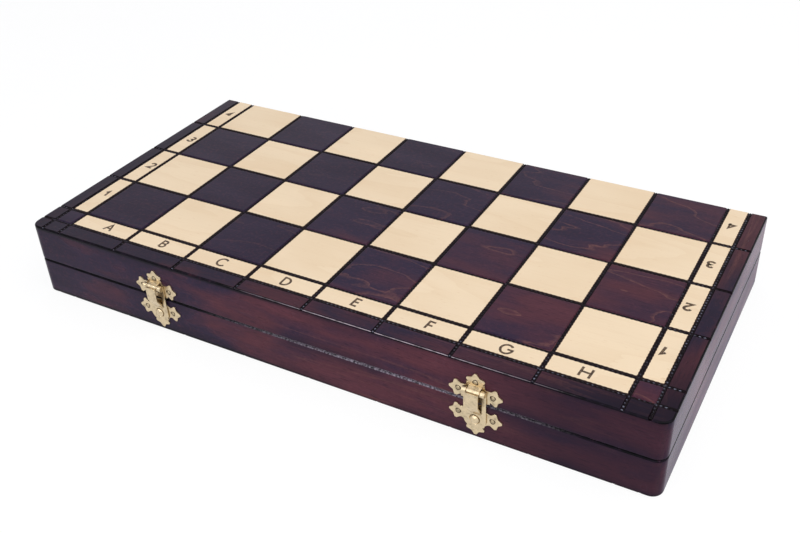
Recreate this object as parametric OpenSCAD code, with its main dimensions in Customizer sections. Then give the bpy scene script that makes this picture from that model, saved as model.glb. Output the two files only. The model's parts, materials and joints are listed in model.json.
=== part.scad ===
// Folding wooden chess set, closed, with its men lying inside.
// Millimetres, +Z up. The origin is the middle of the underside of the closed case.
// +X runs along the long front, from file A to file H, and +Y points to the fold at the back.
// Each half is drawn with its rim at z = 0 and its playing face up, then set as lid or base.

/* [Board] */
// Side of one square
square_s = 42; // [30:0.5:60]
// Width of the light strip that carries the numbers
number_w = 12.5; // [8:0.5:20]
// Width of the light strip that carries the letters
letter_w = 13.5; // [8:0.5:20]
// Width of the dark border on the two sides
side_border = 9.5; // [6:0.5:10]
// Width of the dark border along the front
front_border = 10.5; // [6:0.5:11]
// What the fold takes off the rank that lies beside it
fold_trim = 2; // [0:0.5:6]
// Width of a burnt groove at the surface
groove_w = 2.2; // [1.2:0.1:3]
// Width of a burnt groove at its floor
groove_floor = 1; // [0.2:0.1:1.1]

/* [Case] */
// Free height round the thickest man when the case is shut
men_play = 7; // [2:0.5:40]
// Thickness of the front and side rails
rail_t = 12.5; // [12:0.5:18]
// Wood left on the back rail's rim behind the hinge leaves
back_margin = 0.75; // [0.5:0.05:4]
// Thickness of the whole plywood panel
panel_t = 4; // [3:0.5:8]
// Thickness of the plywood's face veneer, which the grooves cut through
veneer_t = 0.8; // [0.4:0.1:1.5]
// Thickness of the felt lining
felt_t = 1; // [0.5:0.1:2]
// Radius of the upright front corners
corner_r = 6; // [4:0.5:9]
// Rounding of the outer edges of the playing face
edge_r = 1; // [0.8:0.1:3]
// Rounding of the outer edge of the rim
lip_r = 1; // [0.3:0.1:1.5]
// Gap between the two rims when the case is shut
rim_gap = 0.2; // [0.1:0.05:0.6]

/* [Hinges] */
// Length of a hinge along the fold
hinge_len = 32; // [24:1:50]
// Distance of each hinge from the middle of the case
hinge_x = 112; // [60:1:120]
// Thickness of a leaf
leaf_t = 1.2; // [0.8:0.1:1.4]
// Depth of a leaf on the rim
leaf_w = 6.6; // [5.5:0.1:7.5]
// Outer radius of the hinge knuckles
knuckle_r = 2.4; // [2:0.1:3]
// Radius of the hinge pin
hinge_pin_r = 1.2; // [0.8:0.1:1.4]
// Radius of a hinge screw's shank
screw_r = 1.1; // [0.8:0.1:1.3]
// Length of a hinge screw
screw_len = 9; // [6:0.5:12]

/* [Clasps] */
// Distance of each clasp from the middle of the case
clasp_x = 98; // [40:1:160]
// Thickness of the stamped sheet
sheet_t = 0.7; // [0.5:0.05:0.9]
// Reach of the points of a leaf-shaped lobe from its nail
lobe_r = 5; // [4:0.1:5.4]
// Depth of the notches between those points, from the nail
lobe_in_r = 3.5; // [2.4:0.1:4]
// Half the width of the hasp's strap
hasp_half_w = 6; // [5.4:0.1:6.4]
// Half the width of the raised bridge
bridge_half_w = 3.3; // [2.6:0.05:3.8]
// Gap between the curl and the bridge that passes over it
bridge_gap = 0.25; // [0.2:0.05:1]
// Height of the hasp's pin above the rim
clasp_pin_up = 8.2; // [7.4:0.1:9]
// Radius of the hasp's pin
clasp_pin_r = 0.95; // [0.7:0.05:1]
// Height of the stud below the rim
stud_down = 10; // [9:0.1:12]
// Radius of the stud's neck
stud_r = 2.4; // [1.5:0.1:2.8]
// How far the stud stands off the case
stud_out = 2.8; // [2.2:0.1:3.4]
// Radius of a nail's shank
nail_r = 0.55; // [0.4:0.05:0.8]
// Length of a nail behind the plate
nail_len = 7; // [4:0.5:9]

/* [Men] */
// Side of the square that the men's sizes below are for; they grow and shrink with the squares
men_square = 42; // [38:0.5:50]
// Height of the king
king_h = 74; // [60:1:76]
// Height of the queen
queen_h = 65; // [55:1:68]
// Height of a bishop
bishop_h = 56; // [48:1:57]
// Height of a knight
knight_h = 49; // [44:1:52]
// Height of a rook
rook_h = 42; // [38:1:44]
// Height of a pawn
pawn_h = 37; // [32:1:38]
// Foot radius of the king and queen
royal_r = 14.5; // [12:0.5:15]
// Foot radius of bishops, knights and rooks
officer_r = 13.5; // [11:0.5:14]
// Foot radius of a pawn
pawn_r = 12.3; // [10:0.1:13]
// Thickness of the felt disc under a man
pad_t = 0.6; // [0.4:0.1:1]

/* [Hidden] */
$fn = 48;

// Clearances and small amounts
cut = 1;
hole_gap = 0.05;
run_gap = 0.05;
side_gap = 0.2;
fold_gap = 0.15;
lay_gap = 0.15;
lining_gap = 0.4;

// Board and case, worked out from the sizes above
files = 8;
ranks = 4;
case_l = files * square_s + 2 * (number_w + side_border);
case_w = front_border + letter_w + ranks * square_s - fold_trim;
men_scale = square_s / men_square;
half_h = panel_t + felt_t + royal_r * men_scale + men_play / 2;
back_t = knuckle_r - fold_gap + 2 * side_gap + leaf_w + back_margin;
front_y = -case_w / 2;
back_y = case_w / 2;
rim_z = rim_gap / 2;
well_x = case_l / 2 - rail_t;
well_y0 = front_y + rail_t;
well_y1 = back_y - back_t;
strip_w = rail_t + 2 * cut;
panel_x = case_l / 2 - side_border;
panel_y0 = front_y + front_border;
first_rank_y = panel_y0 + letter_w;
x_lines = concat(
  [-panel_x],
  [for (k = [-files / 2 : files / 2]) k * square_s],
  [panel_x]
);
y_lines = concat([panel_y0], [for (k = [0 : ranks - 1]) first_rank_y + k * square_s]);
y_edges = concat(y_lines, [back_y]);

// Hinges
hinge_y = back_y + fold_gap;
leaf_y0 = hinge_y - knuckle_r - 2 * side_gap - leaf_w;
knuckles = 3;
knuckle_len = hinge_len / knuckles;
recess_r = knuckle_r + side_gap;
screw_x = hinge_len / 3;
screw_y = leaf_y0 + leaf_w / 2;
screw_head_r = 2.2;
screw_head_h = leaf_t - hole_gap;

// Clasps, in their own frame: x along the case, y up from the rim, z out of the front
curl_r = clasp_pin_r + run_gap + sheet_t;
hasp_back = sheet_t + 0.15;
clasp_pin_out = hasp_back + curl_r;
tongue_top = clasp_pin_up + curl_r;
tongue_half_w = bridge_half_w;
tongue_rise = 0.8;
bridge_out = hasp_back + 2 * curl_r + bridge_gap + sheet_t;
slit_w = 0.4;
bar_in = bridge_half_w + slit_w;
hole_land = 4.4;
bridge_foot = -stud_down + hole_land;
bridge_lip = 0.5;
plate_half_w = hasp_half_w + 1.6;
lobe_x = plate_half_w + 1.5;
lid_nail_y = clasp_pin_up - 2.1;
lid_top_nail_y = clasp_pin_up + 4.4;
lid_nails = [[-lobe_x, lid_nail_y], [lobe_x, lid_nail_y], [0, lid_top_nail_y]];
lid_lobe_turn = [180, 0, 90];
base_nail_y = 1.4 - stud_down;
base_tip_y = -stud_down - 5.5;
base_nails = [[-lobe_x, base_nail_y], [lobe_x, base_nail_y]];
base_lobes = concat(base_nails, [[0, base_tip_y]]);
base_lobe_turn = [180, 0, 270];
scallop_r = 3.3;
scallop_x = plate_half_w + 0.4;
rim_scallop_y = -1.7;
stud_hole_r = stud_r + 0.2;
hole_flare = 0.4;
rivet_r = 1.2;
rivet_len = 3;
pin_stub = 0.1;

// Colours
wood_light = [0.89, 0.76, 0.56];
wood_dark = [0.27, 0.18, 0.17];
wood_field = [0.93, 0.82, 0.66];
wood_stain = [0.24, 0.17, 0.18];
wood_ply = [0.76, 0.6, 0.42];
felt_colour = [0.1, 0.33, 0.2];
brass_colour = [0.82, 0.72, 0.45];
steel_colour = [0.72, 0.72, 0.7];

// Turned men
foot_h = 4;
step_h = 1.6;
stem_z = foot_h + step_h - 0.1;
stem_share = 0.72;
pawn_head_r = 6.4;
rook_head_r = 9.4;
bishop_head_r = 6.4;
bishop_peak = 5.6;
queen_crown_r = 8.6;
queen_ball_h = 4;
king_crown_r = 8.8;
king_cross_h = 11;
king_rim_drop = 1.4;

// Knight's head
horse_h = 30;
horse_half_w = 6.2;
ear_x = 4.6;
crest_r = 10.6;
muzzle_r = 2.9;
throat_r = 5.2;
eye_r = 0.9;
mane_cuts = 6;
mane_cut_r = 0.9;

// Men lying in the case, in columns with equal gaps and a wider bay between the two colours
column_r = men_scale * [pawn_r, pawn_r, royal_r, officer_r, officer_r];
bay_gaps = 4;
column_gap = (well_x - 2 * sum(column_r, len(column_r))) / (len(column_r) + bay_gaps);
bed_z = panel_t + felt_t + lay_gap;

function sum(list, n) = n == 0 ? 0 : list[n - 1] + sum(list, n - 1);

// Middle of a column, counted from the side rail inwards
function column_x(k) = well_x - column_gap * (k + 1) - 2 * sum(column_r, k) - column_r[k];

// Placing the halves

module as_lid() {
  translate([0, 0, half_h]) children();
}

module as_base() {
  translate([0, 0, half_h]) mirror([0, 0, 1]) children();
}

// Case rails

module wall_outline(w) {
  difference() {
    translate([0, rim_z]) square([w, half_h - rim_z]);
    translate([w - edge_r, half_h - edge_r]) difference() {
      square(edge_r + cut);
      circle(edge_r);
    }
    translate([w - lip_r, rim_z + lip_r]) difference() {
      translate([0, -lip_r - cut]) square([lip_r + cut, lip_r + cut]);
      circle(lip_r);
    }
  }
}

module left_corner() {
  translate([-case_l / 2 + corner_r, front_y + corner_r, 0])
    rotate([0, 0, 180]) rotate_extrude(angle = 90) wall_outline(corner_r);
}

module front_strip() {
  translate([case_l / 2 - corner_r, front_y + strip_w, 0])
    rotate([90, 0, -90]) linear_extrude(case_l - 2 * corner_r) wall_outline(strip_w);
}

module left_strip() {
  translate([-case_l / 2 + strip_w, front_y + corner_r, 0])
    rotate([90, 0, 180]) linear_extrude(case_w - corner_r) wall_outline(strip_w);
}

// A groove is a prism with sloping sides, sunk through the veneer from the playing face.
module groove(len) {
  rotate([90, 0, 0]) linear_extrude(len) polygon([
    [-groove_floor / 2, half_h - veneer_t],
    [groove_floor / 2, half_h - veneer_t],
    [groove_w / 2, half_h],
    [groove_w / 2, half_h + cut],
    [-groove_w / 2, half_h + cut],
    [-groove_w / 2, half_h]
  ]);
}

module groove_along_y(x, y0, y1) {
  translate([x, y1, 0]) groove(y1 - y0);
}

module groove_along_x(y, x0, x1) {
  translate([x0, y, 0]) rotate([0, 0, 90]) groove(x1 - x0);
}

module panel_room() {
  translate([-panel_x, panel_y0, half_h - panel_t])
    cube([2 * panel_x, back_y - panel_y0 + cut, panel_t + cut]);
}

module at_clasps() {
  for (side = [-1, 1]) at_clasp(side) children();
}

module at_clasp(side) {
  translate([side * clasp_x, front_y, 0]) rotate([90, 0, 0]) children();
}

// The clasp's holes in a front rail, for its nails and, in the base, the rivet of its stud
module clasp_holes(nails, with_stud) {
  for (p = nails)
    translate([p[0], p[1], -nail_len - hole_gap]) cylinder(r = nail_r + hole_gap, h = nail_len + cut);
  if (with_stud)
    translate([0, -stud_down, -rivet_len - hole_gap]) cylinder(r = rivet_r + hole_gap, h = rivet_len + cut);
}

module front_rail() {
  difference() {
    intersection() {
      union() {
        front_strip();
        left_corner();
        mirror([1, 0, 0]) left_corner();
      }
      linear_extrude(half_h) polygon([
        [-case_l / 2, front_y],
        [case_l / 2, front_y],
        [case_l / 2 - rail_t, front_y + rail_t],
        [-case_l / 2 + rail_t, front_y + rail_t]
      ]);
    }
    panel_room();
    for (x = x_lines) groove_along_y(x, front_y - cut, panel_y0 + cut);
    groove_along_x(panel_y0, -case_l / 2, case_l / 2);
  }
}

module left_rail() {
  difference() {
    intersection() {
      union() {
        left_strip();
        left_corner();
      }
      linear_extrude(half_h) polygon([
        [-case_l / 2, front_y],
        [-case_l / 2 + rail_t, front_y + rail_t],
        [-case_l / 2 + rail_t, back_y],
        [-case_l / 2, back_y]
      ]);
    }
    panel_room();
    for (y = y_lines) groove_along_x(y, -case_l / 2 - cut, -panel_x + cut);
    groove_along_y(-panel_x, front_y, back_y + cut);
  }
}

module right_rail() {
  mirror([1, 0, 0]) left_rail();
}

module at_hinges() {
  for (side = [-1, 1]) at_hinge(side) children();
}

module at_hinge(side) {
  translate([side * hinge_x, 0, 0]) children();
}

module back_rail() {
  difference() {
    translate([-well_x, well_y1, rim_z]) cube([2 * well_x, back_t, half_h - panel_t - rim_z]);
    at_hinges() {
      translate([-hinge_len / 2 - side_gap, leaf_y0 - hole_gap, -cut])
        cube([hinge_len + 2 * side_gap, back_t + cut, rim_z + leaf_t + hole_gap + cut]);
      translate([-hinge_len / 2 - side_gap, hinge_y, 0])
        rotate([0, 90, 0]) cylinder(r = recess_r, h = hinge_len + 2 * side_gap);
      for (x = [-screw_x, screw_x]) translate([x, screw_y, 0])
        cylinder(r = screw_r + hole_gap, h = rim_z + screw_len + hole_gap);
    }
  }
}

// Plywood panel: its core, and the face veneer that the grooves part into fields

module panel_core() {
  translate([-panel_x, panel_y0, half_h - panel_t])
    cube([2 * panel_x, back_y - panel_y0, panel_t - veneer_t]);
}

function is_dark(i, j, parity) =
  (i == 0 || i == files + 1) ? j == 0
  : j == 0 ? false
  : (i + j) % 2 == parity;

// Sloping sides of a field between two lines, low and high, of which the last may be the fold
module field_side(low, high, at_fold) {
  edge = (groove_w - groove_floor) / 2;
  high_floor = at_fold ? high : high - groove_floor / 2;
  high_top = at_fold ? high : high_floor - edge;
  polygon([
    [low + groove_floor / 2, half_h - veneer_t],
    [high_floor, half_h - veneer_t],
    [high_top, half_h],
    [low + groove_floor / 2 + edge, half_h]
  ]);
}

module field(i, j) {
  intersection() {
    translate([0, back_y, 0]) rotate([90, 0, 0]) linear_extrude(case_w)
      field_side(x_lines[i], x_lines[i + 1], false);
    translate([-case_l / 2, 0, 0]) rotate([90, 0, 90]) linear_extrude(case_l)
      field_side(y_edges[j], y_edges[j + 1], j == ranks);
  }
}

// parity says which squares are dark: 0 in the half with ranks 1 to 4, 1 in the other
module fields(dark, parity) {
  for (i = [0 : files + 1])
    for (j = [0 : ranks])
      if (is_dark(i, j, parity) == dark) field(i, j);
}

module lining() {
  translate([-well_x + lining_gap, well_y0 + lining_gap, half_h - panel_t - felt_t])
    cube([2 * (well_x - lining_gap), well_y1 - well_y0 - 2 * lining_gap, felt_t]);
}

// Hinges, drawn in a half's frame about their own middle

module knuckle(x0, x1) {
  difference() {
    union() {
      translate([x0, hinge_y, 0]) rotate([0, 90, 0]) cylinder(r = knuckle_r, h = x1 - x0);
      translate([x0, leaf_y0 + leaf_w - cut, rim_z])
        cube([x1 - x0, hinge_y - leaf_y0 - leaf_w + cut, leaf_t]);
    }
    translate([x0 - cut, hinge_y, 0]) rotate([0, 90, 0])
      cylinder(r = hinge_pin_r + run_gap, h = x1 - x0 + 2 * cut);
  }
}

module leaf_plate() {
  difference() {
    translate([-hinge_len / 2, leaf_y0, rim_z]) cube([hinge_len, leaf_w, leaf_t]);
    for (x = [-screw_x, screw_x]) translate([x, screw_y, rim_z]) {
      translate([0, 0, -cut]) cylinder(r = screw_r + hole_gap, h = leaf_t + 2 * cut);
      cylinder(r1 = screw_head_r + hole_gap, r2 = screw_r + hole_gap, h = screw_head_h);
    }
  }
}

module lid_leaf() {
  color(brass_colour) {
    union() {
      leaf_plate();
      knuckle(-knuckle_len / 2 + side_gap / 2, knuckle_len / 2 - side_gap / 2);
    }
  }
}

module base_leaf() {
  color(brass_colour) {
    union() {
      leaf_plate();
      knuckle(-hinge_len / 2, -knuckle_len / 2 - side_gap / 2);
      knuckle(knuckle_len / 2 + side_gap / 2, hinge_len / 2);
    }
  }
}

module hinge_pin() {
  color(steel_colour)
    translate([-hinge_len / 2, hinge_y, 0]) rotate([0, 90, 0]) cylinder(r = hinge_pin_r, h = hinge_len);
}

module screw() {
  union() {
    cylinder(r1 = screw_head_r, r2 = screw_r, h = screw_head_h);
    cylinder(r = screw_r, h = screw_len - 2 * screw_r);
    translate([0, 0, screw_len - 2 * screw_r]) cylinder(r1 = screw_r, r2 = screw_r / 4, h = 2 * screw_r);
  }
}

module hinge_screws() {
  color(brass_colour)
    at_hinges() for (x = [-screw_x, screw_x]) translate([x, screw_y, rim_z]) screw();
}

// Clasps

// A leaf-shaped lobe: a star of five points about its nail, with the points cut blunt by a circle
module lobe(turn) {
  points = 5;
  overshoot = 0.8;
  intersection() {
    circle(lobe_r);
    rotate(turn) polygon([for (k = [0 : 2 * points - 1])
      let (r = k % 2 == 0 ? lobe_r + overshoot : lobe_in_r, a = 180 / points * k)
        [r * cos(a), r * sin(a)]]);
  }
}

module lobes(places, turns) {
  for (k = [0 : len(places) - 1]) translate(places[k]) lobe(turns[k]);
}

// A plate's body between two heights, scooped beside its end lobe and at the rim, with its lobes
module plate_outline(low, high, scallop_y, places, turns) {
  union() {
    difference() {
      translate([-plate_half_w, low]) square([2 * plate_half_w, high - low]);
      for (side = [-1, 1]) {
        translate([side * scallop_x, scallop_y]) circle(scallop_r);
        translate([side * plate_half_w, rim_scallop_y]) circle(scallop_r);
      }
    }
    lobes(places, turns);
  }
}

module nail_holes(nails) {
  for (p = nails) translate([p[0], p[1], -cut]) cylinder(r = nail_r + hole_gap, h = sheet_t + 2 * cut);
}

// Section of the tongue: bent out of the upper plate, it slopes down and curls round the pin
module tongue_section() {
  difference() {
    union() {
      polygon([
        [0, tongue_top + tongue_rise - sheet_t],
        [clasp_pin_out, tongue_top - sheet_t],
        [clasp_pin_out, tongue_top],
        [0, tongue_top + tongue_rise]
      ]);
      translate([clasp_pin_out, clasp_pin_up]) circle(curl_r);
    }
    translate([clasp_pin_out, clasp_pin_up]) circle(clasp_pin_r + run_gap);
  }
}

// Turns a section drawn as (out, up) into a strip of the given half width
module strip(x0, x1) {
  translate([x1, 0, 0]) rotate([0, -90, 0]) linear_extrude(x1 - x0) children();
}

// Upper plate. The window below the tongue is what the tongue was cut and bent out of.
module clasp_lid_plate() {
  low = 0.8;
  high = clasp_pin_up + 3.8;
  scoop_y = high - 0.8;
  window_drop = 2 * curl_r + tongue_rise + 2.2;
  color(brass_colour) union() {
    difference() {
      linear_extrude(sheet_t) plate_outline(low, high, scoop_y, lid_nails, lid_lobe_turn);
      nail_holes(lid_nails);
      translate([-tongue_half_w, tongue_top + tongue_rise - sheet_t - window_drop, -cut])
        cube([2 * tongue_half_w, window_drop, sheet_t + 2 * cut]);
    }
    strip(-tongue_half_w, tongue_half_w) tongue_section();
  }
}

module clasp_base_plate() {
  high = -rim_z - 0.7;
  low = -stud_down - 4.8;
  scoop_y = low - 0.3;
  color(brass_colour) difference() {
    linear_extrude(sheet_t) plate_outline(low, high, scoop_y, base_lobes, base_lobe_turn);
    nail_holes(base_nails);
    translate([0, -stud_down, -cut]) cylinder(r = rivet_r + hole_gap, h = sheet_t + 2 * cut);
  }
}

// Section of the bridge: it leaves the strap above the stud, slopes out and runs up before the curl
module bridge_section() {
  knee_y = bridge_foot + 6;
  lean = 0.9;
  top_y = clasp_pin_up + bridge_lip;
  polygon([
    [hasp_back, bridge_foot],
    [hasp_back + sheet_t, bridge_foot],
    [bridge_out, knee_y],
    [bridge_out, top_y],
    [bridge_out - sheet_t, top_y],
    [bridge_out - sheet_t, knee_y + lean / 3],
    [hasp_back, bridge_foot + lean]
  ]);
}

module clasp_hasp() {
  color(brass_colour) difference() {
    union() {
      translate([0, 0, hasp_back]) linear_extrude(sheet_t) difference() {
        union() {
          translate([0, -stud_down]) circle(hasp_half_w);
          translate([-hasp_half_w, -stud_down]) square([2 * hasp_half_w, stud_down + clasp_pin_up]);
        }
        translate([-bar_in, bridge_foot]) square([2 * bar_in, stud_down + clasp_pin_up]);
      }
      strip(-bridge_half_w, bridge_half_w) bridge_section();
      for (side = [-1, 1])
        translate([side * (bar_in + hasp_half_w) / 2, 0, 0])
          strip(-(hasp_half_w - bar_in) / 2, (hasp_half_w - bar_in) / 2)
            translate([clasp_pin_out, clasp_pin_up]) circle(curl_r);
    }
    translate([-hasp_half_w - cut, clasp_pin_up, clasp_pin_out])
      rotate([0, 90, 0]) cylinder(r = clasp_pin_r + run_gap, h = 2 * (hasp_half_w + cut));
    translate([0, -stud_down, hasp_back - cut]) cylinder(r = stud_hole_r, h = sheet_t + 2 * cut);
    translate([0, -stud_down, hasp_back + sheet_t - hole_flare])
      cylinder(r1 = stud_hole_r, r2 = stud_hole_r + 2 * hole_flare, h = 2 * hole_flare);
  }
}

module clasp_pin() {
  color(brass_colour) translate([-hasp_half_w - pin_stub, clasp_pin_up, clasp_pin_out])
    rotate([0, 90, 0]) cylinder(r = clasp_pin_r, h = 2 * (hasp_half_w + pin_stub));
}

// Domed stud with a neck, riveted through the lower plate
module clasp_stud() {
  dome_h = 1.1;
  dome_r = (stud_r * stud_r + dome_h * dome_h) / (2 * dome_h);
  color(brass_colour) translate([0, -stud_down, 0]) union() {
    translate([0, 0, -rivet_len]) cylinder(r = rivet_r, h = rivet_len + stud_out - dome_h);
    translate([0, 0, sheet_t]) cylinder(r = stud_r, h = stud_out - dome_h - sheet_t);
    translate([0, 0, stud_out - dome_h]) intersection() {
      translate([0, 0, dome_h - dome_r]) sphere(dome_r);
      cylinder(r = stud_r, h = dome_h + cut);
    }
  }
}

module nail() {
  head_r = 1.15;
  head_h = 0.55;
  head_ball = (head_r * head_r + head_h * head_h) / (2 * head_h);
  union() {
    translate([0, 0, -nail_len]) cylinder(r = nail_r, h = nail_len + sheet_t + head_h / 2);
    intersection() {
      translate([0, 0, sheet_t + head_h - head_ball]) sphere(head_ball);
      translate([0, 0, sheet_t]) cylinder(r = head_r, h = head_h + cut);
    }
  }
}

module clasp_nails(nails) {
  color(brass_colour) at_clasps() for (p = nails) translate([p[0], p[1], 0]) nail();
}

// Men, standing on z = 0 about their own axis

// Rounded foot of radius r and the step above it
module foot_profile(r) {
  round_r = foot_h / 2;
  square([r - round_r, foot_h]);
  translate([r - round_r, round_r]) circle(round_r);
  square([r * (stem_share + 0.06), foot_h + step_h]);
}

// Hollow-sided stem from radius r0 at z0 to r1 at z1, with the side scooped by a circle
module stem_profile(r0, z0, r1, z1, scoop) {
  run = [r1 - r0, z1 - z0];
  chord = norm(run);
  mid = [(r0 + r1) / 2, (z0 + z1) / 2];
  ring = (chord * chord / 4 + scoop * scoop) / (2 * scoop);
  away = [run[1], -run[0]] / chord;
  difference() {
    polygon([[0, z0], [r0, z0], [r1, z1], [0, z1]]);
    translate(mid + away * (ring - scoop)) circle(ring, $fn = 96);
  }
}

module collar_profile(r, z, h) {
  translate([0, z - h / 2]) square([r - h / 2, h]);
  translate([r - h / 2, z]) circle(h / 2);
}

module turned() {
  rotate_extrude() intersection() {
    union() children();
    square([30, 100]);
  }
}

module pawn_shape() {
  head_z = pawn_h - pawn_head_r;
  neck_r = 3.6;
  collar_r = 6.6;
  collar_h = 1.8;
  collar_z = head_z - 5.2;
  turned() {
    foot_profile(pawn_r);
    stem_profile(pawn_r * stem_share, stem_z, neck_r, collar_z + collar_h / 2 - 0.1, 2);
    collar_profile(collar_r, collar_z, collar_h);
    translate([0, head_z - 6]) square([neck_r, 6]);
    translate([0, head_z]) circle(pawn_head_r);
  }
}

module rook_shape() {
  head_h = 9;
  flare_h = 2.4;
  neck_r = 6.8;
  collar_r = 8.6;
  collar_h = 2;
  hollow_r = 6;
  hollow_h = 4;
  notch_w = 3.6;
  notch_h = 3;
  head_z = rook_h - head_h;
  difference() {
    turned() {
      foot_profile(officer_r);
      stem_profile(officer_r * stem_share, stem_z, neck_r - 0.2, head_z - 1, 1.6);
      collar_profile(collar_r, head_z - 1.4, collar_h);
      translate([0, head_z]) polygon([
        [0, -1.5], [neck_r, -1.5], [rook_head_r, flare_h], [rook_head_r, head_h], [0, head_h]
      ]);
    }
    translate([0, 0, rook_h - hollow_h]) cylinder(r = hollow_r, h = hollow_h + cut);
    for (k = [0 : 2]) rotate([0, 0, 60 * k])
      translate([-rook_head_r - cut, -notch_w / 2, rook_h - notch_h])
        cube([2 * (rook_head_r + cut), notch_w, notch_h + cut]);
  }
}

module bishop_shape() {
  head_z = bishop_h - bishop_head_r - bishop_peak;
  neck_r = 4.2;
  collar_r = 7.8;
  bead_r = 6;
  knob_r = 2.1;
  cleft_w = 1.2;
  cleft_turn = 35;
  difference() {
    turned() {
      foot_profile(officer_r);
      stem_profile(officer_r * stem_share, stem_z, neck_r - 0.3, head_z - 6.6, 3.2);
      collar_profile(collar_r, head_z - 7.4, 2);
      collar_profile(bead_r, head_z - 5.6, 1.6);
      translate([0, head_z - 7]) square([neck_r, 7]);
      translate([0, head_z]) circle(bishop_head_r);
      polygon([[0, head_z], [5.6, head_z + 3.1], [1.6, head_z + 8.6], [0, head_z + 9]]);
      translate([0, bishop_h - knob_r]) circle(knob_r);
    }
    translate([2.2, 0, head_z + 3.4]) rotate([0, cleft_turn, 0])
      translate([-cleft_w / 2, -bishop_head_r - cut, -1.5]) cube([cleft_w, 2 * (bishop_head_r + cut), 9]);
  }
}

// Horse's head from the side: a round crest, a long face, a jaw and a hollow throat
module knight_side() {
  difference() {
    union() {
      translate([-0.5, 14]) circle(crest_r);
      translate([-8.4, 0]) square([15.8, 12]);
      polygon([[-1, 26], [3.4, 26], [11.6, 18.6], [11, 12.6], [2, 12]]);
      translate([10.3, 15.5]) circle(muzzle_r);
      polygon([[-4, 23], [-1.4, horse_h], [3.2, 25]]);
    }
    translate([10.4, 7]) circle(throat_r);
    translate([9.4, 14]) rotate(15) square([5, 0.7]);
    for (k = [0 : mane_cuts - 1])
      translate([-0.5, 14]) rotate(112 + 16 * k) translate([crest_r + 0.5, 0]) circle(mane_cut_r);
  }
}

// Horse's head from the front: the neck narrows upwards and the ears stand apart
module knight_front() {
  difference() {
    polygon([
      [-horse_half_w - 1, 0], [horse_half_w + 1, 0], [horse_half_w - 0.4, 12],
      [ear_x, horse_h], [-ear_x, horse_h], [0.4 - horse_half_w, 12]
    ]);
    polygon([[0, horse_h - 5], [ear_x - 1.6, horse_h + cut], [1.6 - ear_x, horse_h + cut]]);
  }
}

// Horse's head from above: broad at the crest and narrow at the muzzle
module knight_plan() {
  translate([-1, 0]) circle(crest_r);
  polygon([[0, -horse_half_w - 1], [13.4, -muzzle_r], [13.4, muzzle_r], [0, horse_half_w + 1]]);
}

module knight_head() {
  difference() {
    intersection() {
      translate([0, crest_r, 0]) rotate([90, 0, 0]) linear_extrude(2 * crest_r) knight_side();
      translate([-horse_h / 2, 0, 0]) rotate([90, 0, 90]) linear_extrude(horse_h) knight_front();
      linear_extrude(horse_h) knight_plan();
    }
    for (side = [-1, 1]) {
      translate([4.6, side * (horse_half_w - 0.6), 20.4]) rotate([90, 0, 0])
        cylinder(r = eye_r, h = 2.4, center = true);
      translate([11.2, side * muzzle_r, 16.6]) rotate([90, 0, 0])
        cylinder(r = eye_r / 2, h = 2, center = true);
    }
  }
}

module knight_shape() {
  neck_z = knight_h - horse_h;
  union() {
    turned() {
      foot_profile(officer_r);
      stem_profile(officer_r * stem_share, stem_z, 8.4, neck_z - 1, 1.6);
      collar_profile(9.6, neck_z - 0.6, 2.2);
    }
    translate([0, 0, neck_z]) knight_head();
  }
}

module royal_body(r, top, neck) {
  foot_profile(r);
  stem_profile(r * stem_share, stem_z, neck, top - 14, 3.6);
  collar_profile(9.4, top - 14.6, 2.2);
  collar_profile(7.4, top - 12.4, 1.8);
}

module queen_shape() {
  top = queen_h - queen_ball_h;
  neck_r = 4.8;
  crown_in = 6.4;
  points = 8;
  scoop_r = 2.1;
  ball_r = 2.8;
  difference() {
    turned() {
      royal_body(royal_r, top, neck_r);
      polygon([
        [0, top - 14.6], [5, top - 14.6], [5.6, top - 8],
        [queen_crown_r, top], [crown_in, top], [0, top - 2]
      ]);
    }
    for (k = [0 : points - 1]) rotate([0, 0, 360 / points * k])
      translate([0, 0, top + 0.4]) rotate([0, 90, 0]) cylinder(r = scoop_r, h = 12);
  }
  turned() {
    translate([0, top - 2.4]) square([4.2, 1.6]);
    translate([0, top - 1]) square([2.4, 2.4]);
    translate([0, top + 1.2]) circle(ball_r);
  }
}

module king_shape() {
  top = king_h - king_cross_h;
  neck_r = 5;
  cross_w = 2.2;
  cross_h = 10;
  arm = 3.4;
  arm_z = 5.4;
  union() {
    turned() {
      royal_body(royal_r, top, neck_r);
      polygon([
        [0, top - 14.6], [5.2, top - 14.6], [6, top - 8], [king_crown_r, top - king_rim_drop],
        [8, top], [3, top + 2.6], [0, top + 2.8]
      ]);
    }
    translate([-cross_w / 2, -cross_w / 2, top + 1]) cube([cross_w, cross_w, cross_h]);
    translate([-arm, -cross_w / 2, top + arm_z]) cube([2 * arm, cross_w, cross_w]);
  }
}

// Laying a man down: he rests on the edge of his foot and on a second ring of radius r2 at height s2

function lay_angle(r, r2, s2) = atan((r - r2) / (s2 - foot_h / 2));

module laid(r, r2, s2) {
  tilt = lay_angle(r, r2, s2);
  lift = (r - foot_h / 2) * cos(tilt) + foot_h / 2 * sin(tilt) + foot_h / 2;
  translate([0, 0, lift]) rotate([-90 - tilt, 0, 0]) children();
}

function laid_length(r, r2, s2, h) =
  let (tilt = lay_angle(r, r2, s2)) h * cos(tilt) + r * sin(tilt) + pad_t;

// Each kind: foot radius, radius and height of the ring it rests on, height
PAWN = [pawn_r, pawn_head_r, pawn_h - pawn_head_r, pawn_h];
ROOK = [officer_r, rook_head_r, rook_h, rook_h];
BISHOP = [officer_r, bishop_head_r, bishop_h - bishop_head_r - bishop_peak, bishop_h];
KNIGHT = [officer_r, ear_x, knight_h, knight_h];
QUEEN = [royal_r, queen_crown_r, queen_h - queen_ball_h, queen_h];
KING = [royal_r, king_crown_r, king_h - king_cross_h - king_rim_drop, king_h];

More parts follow.
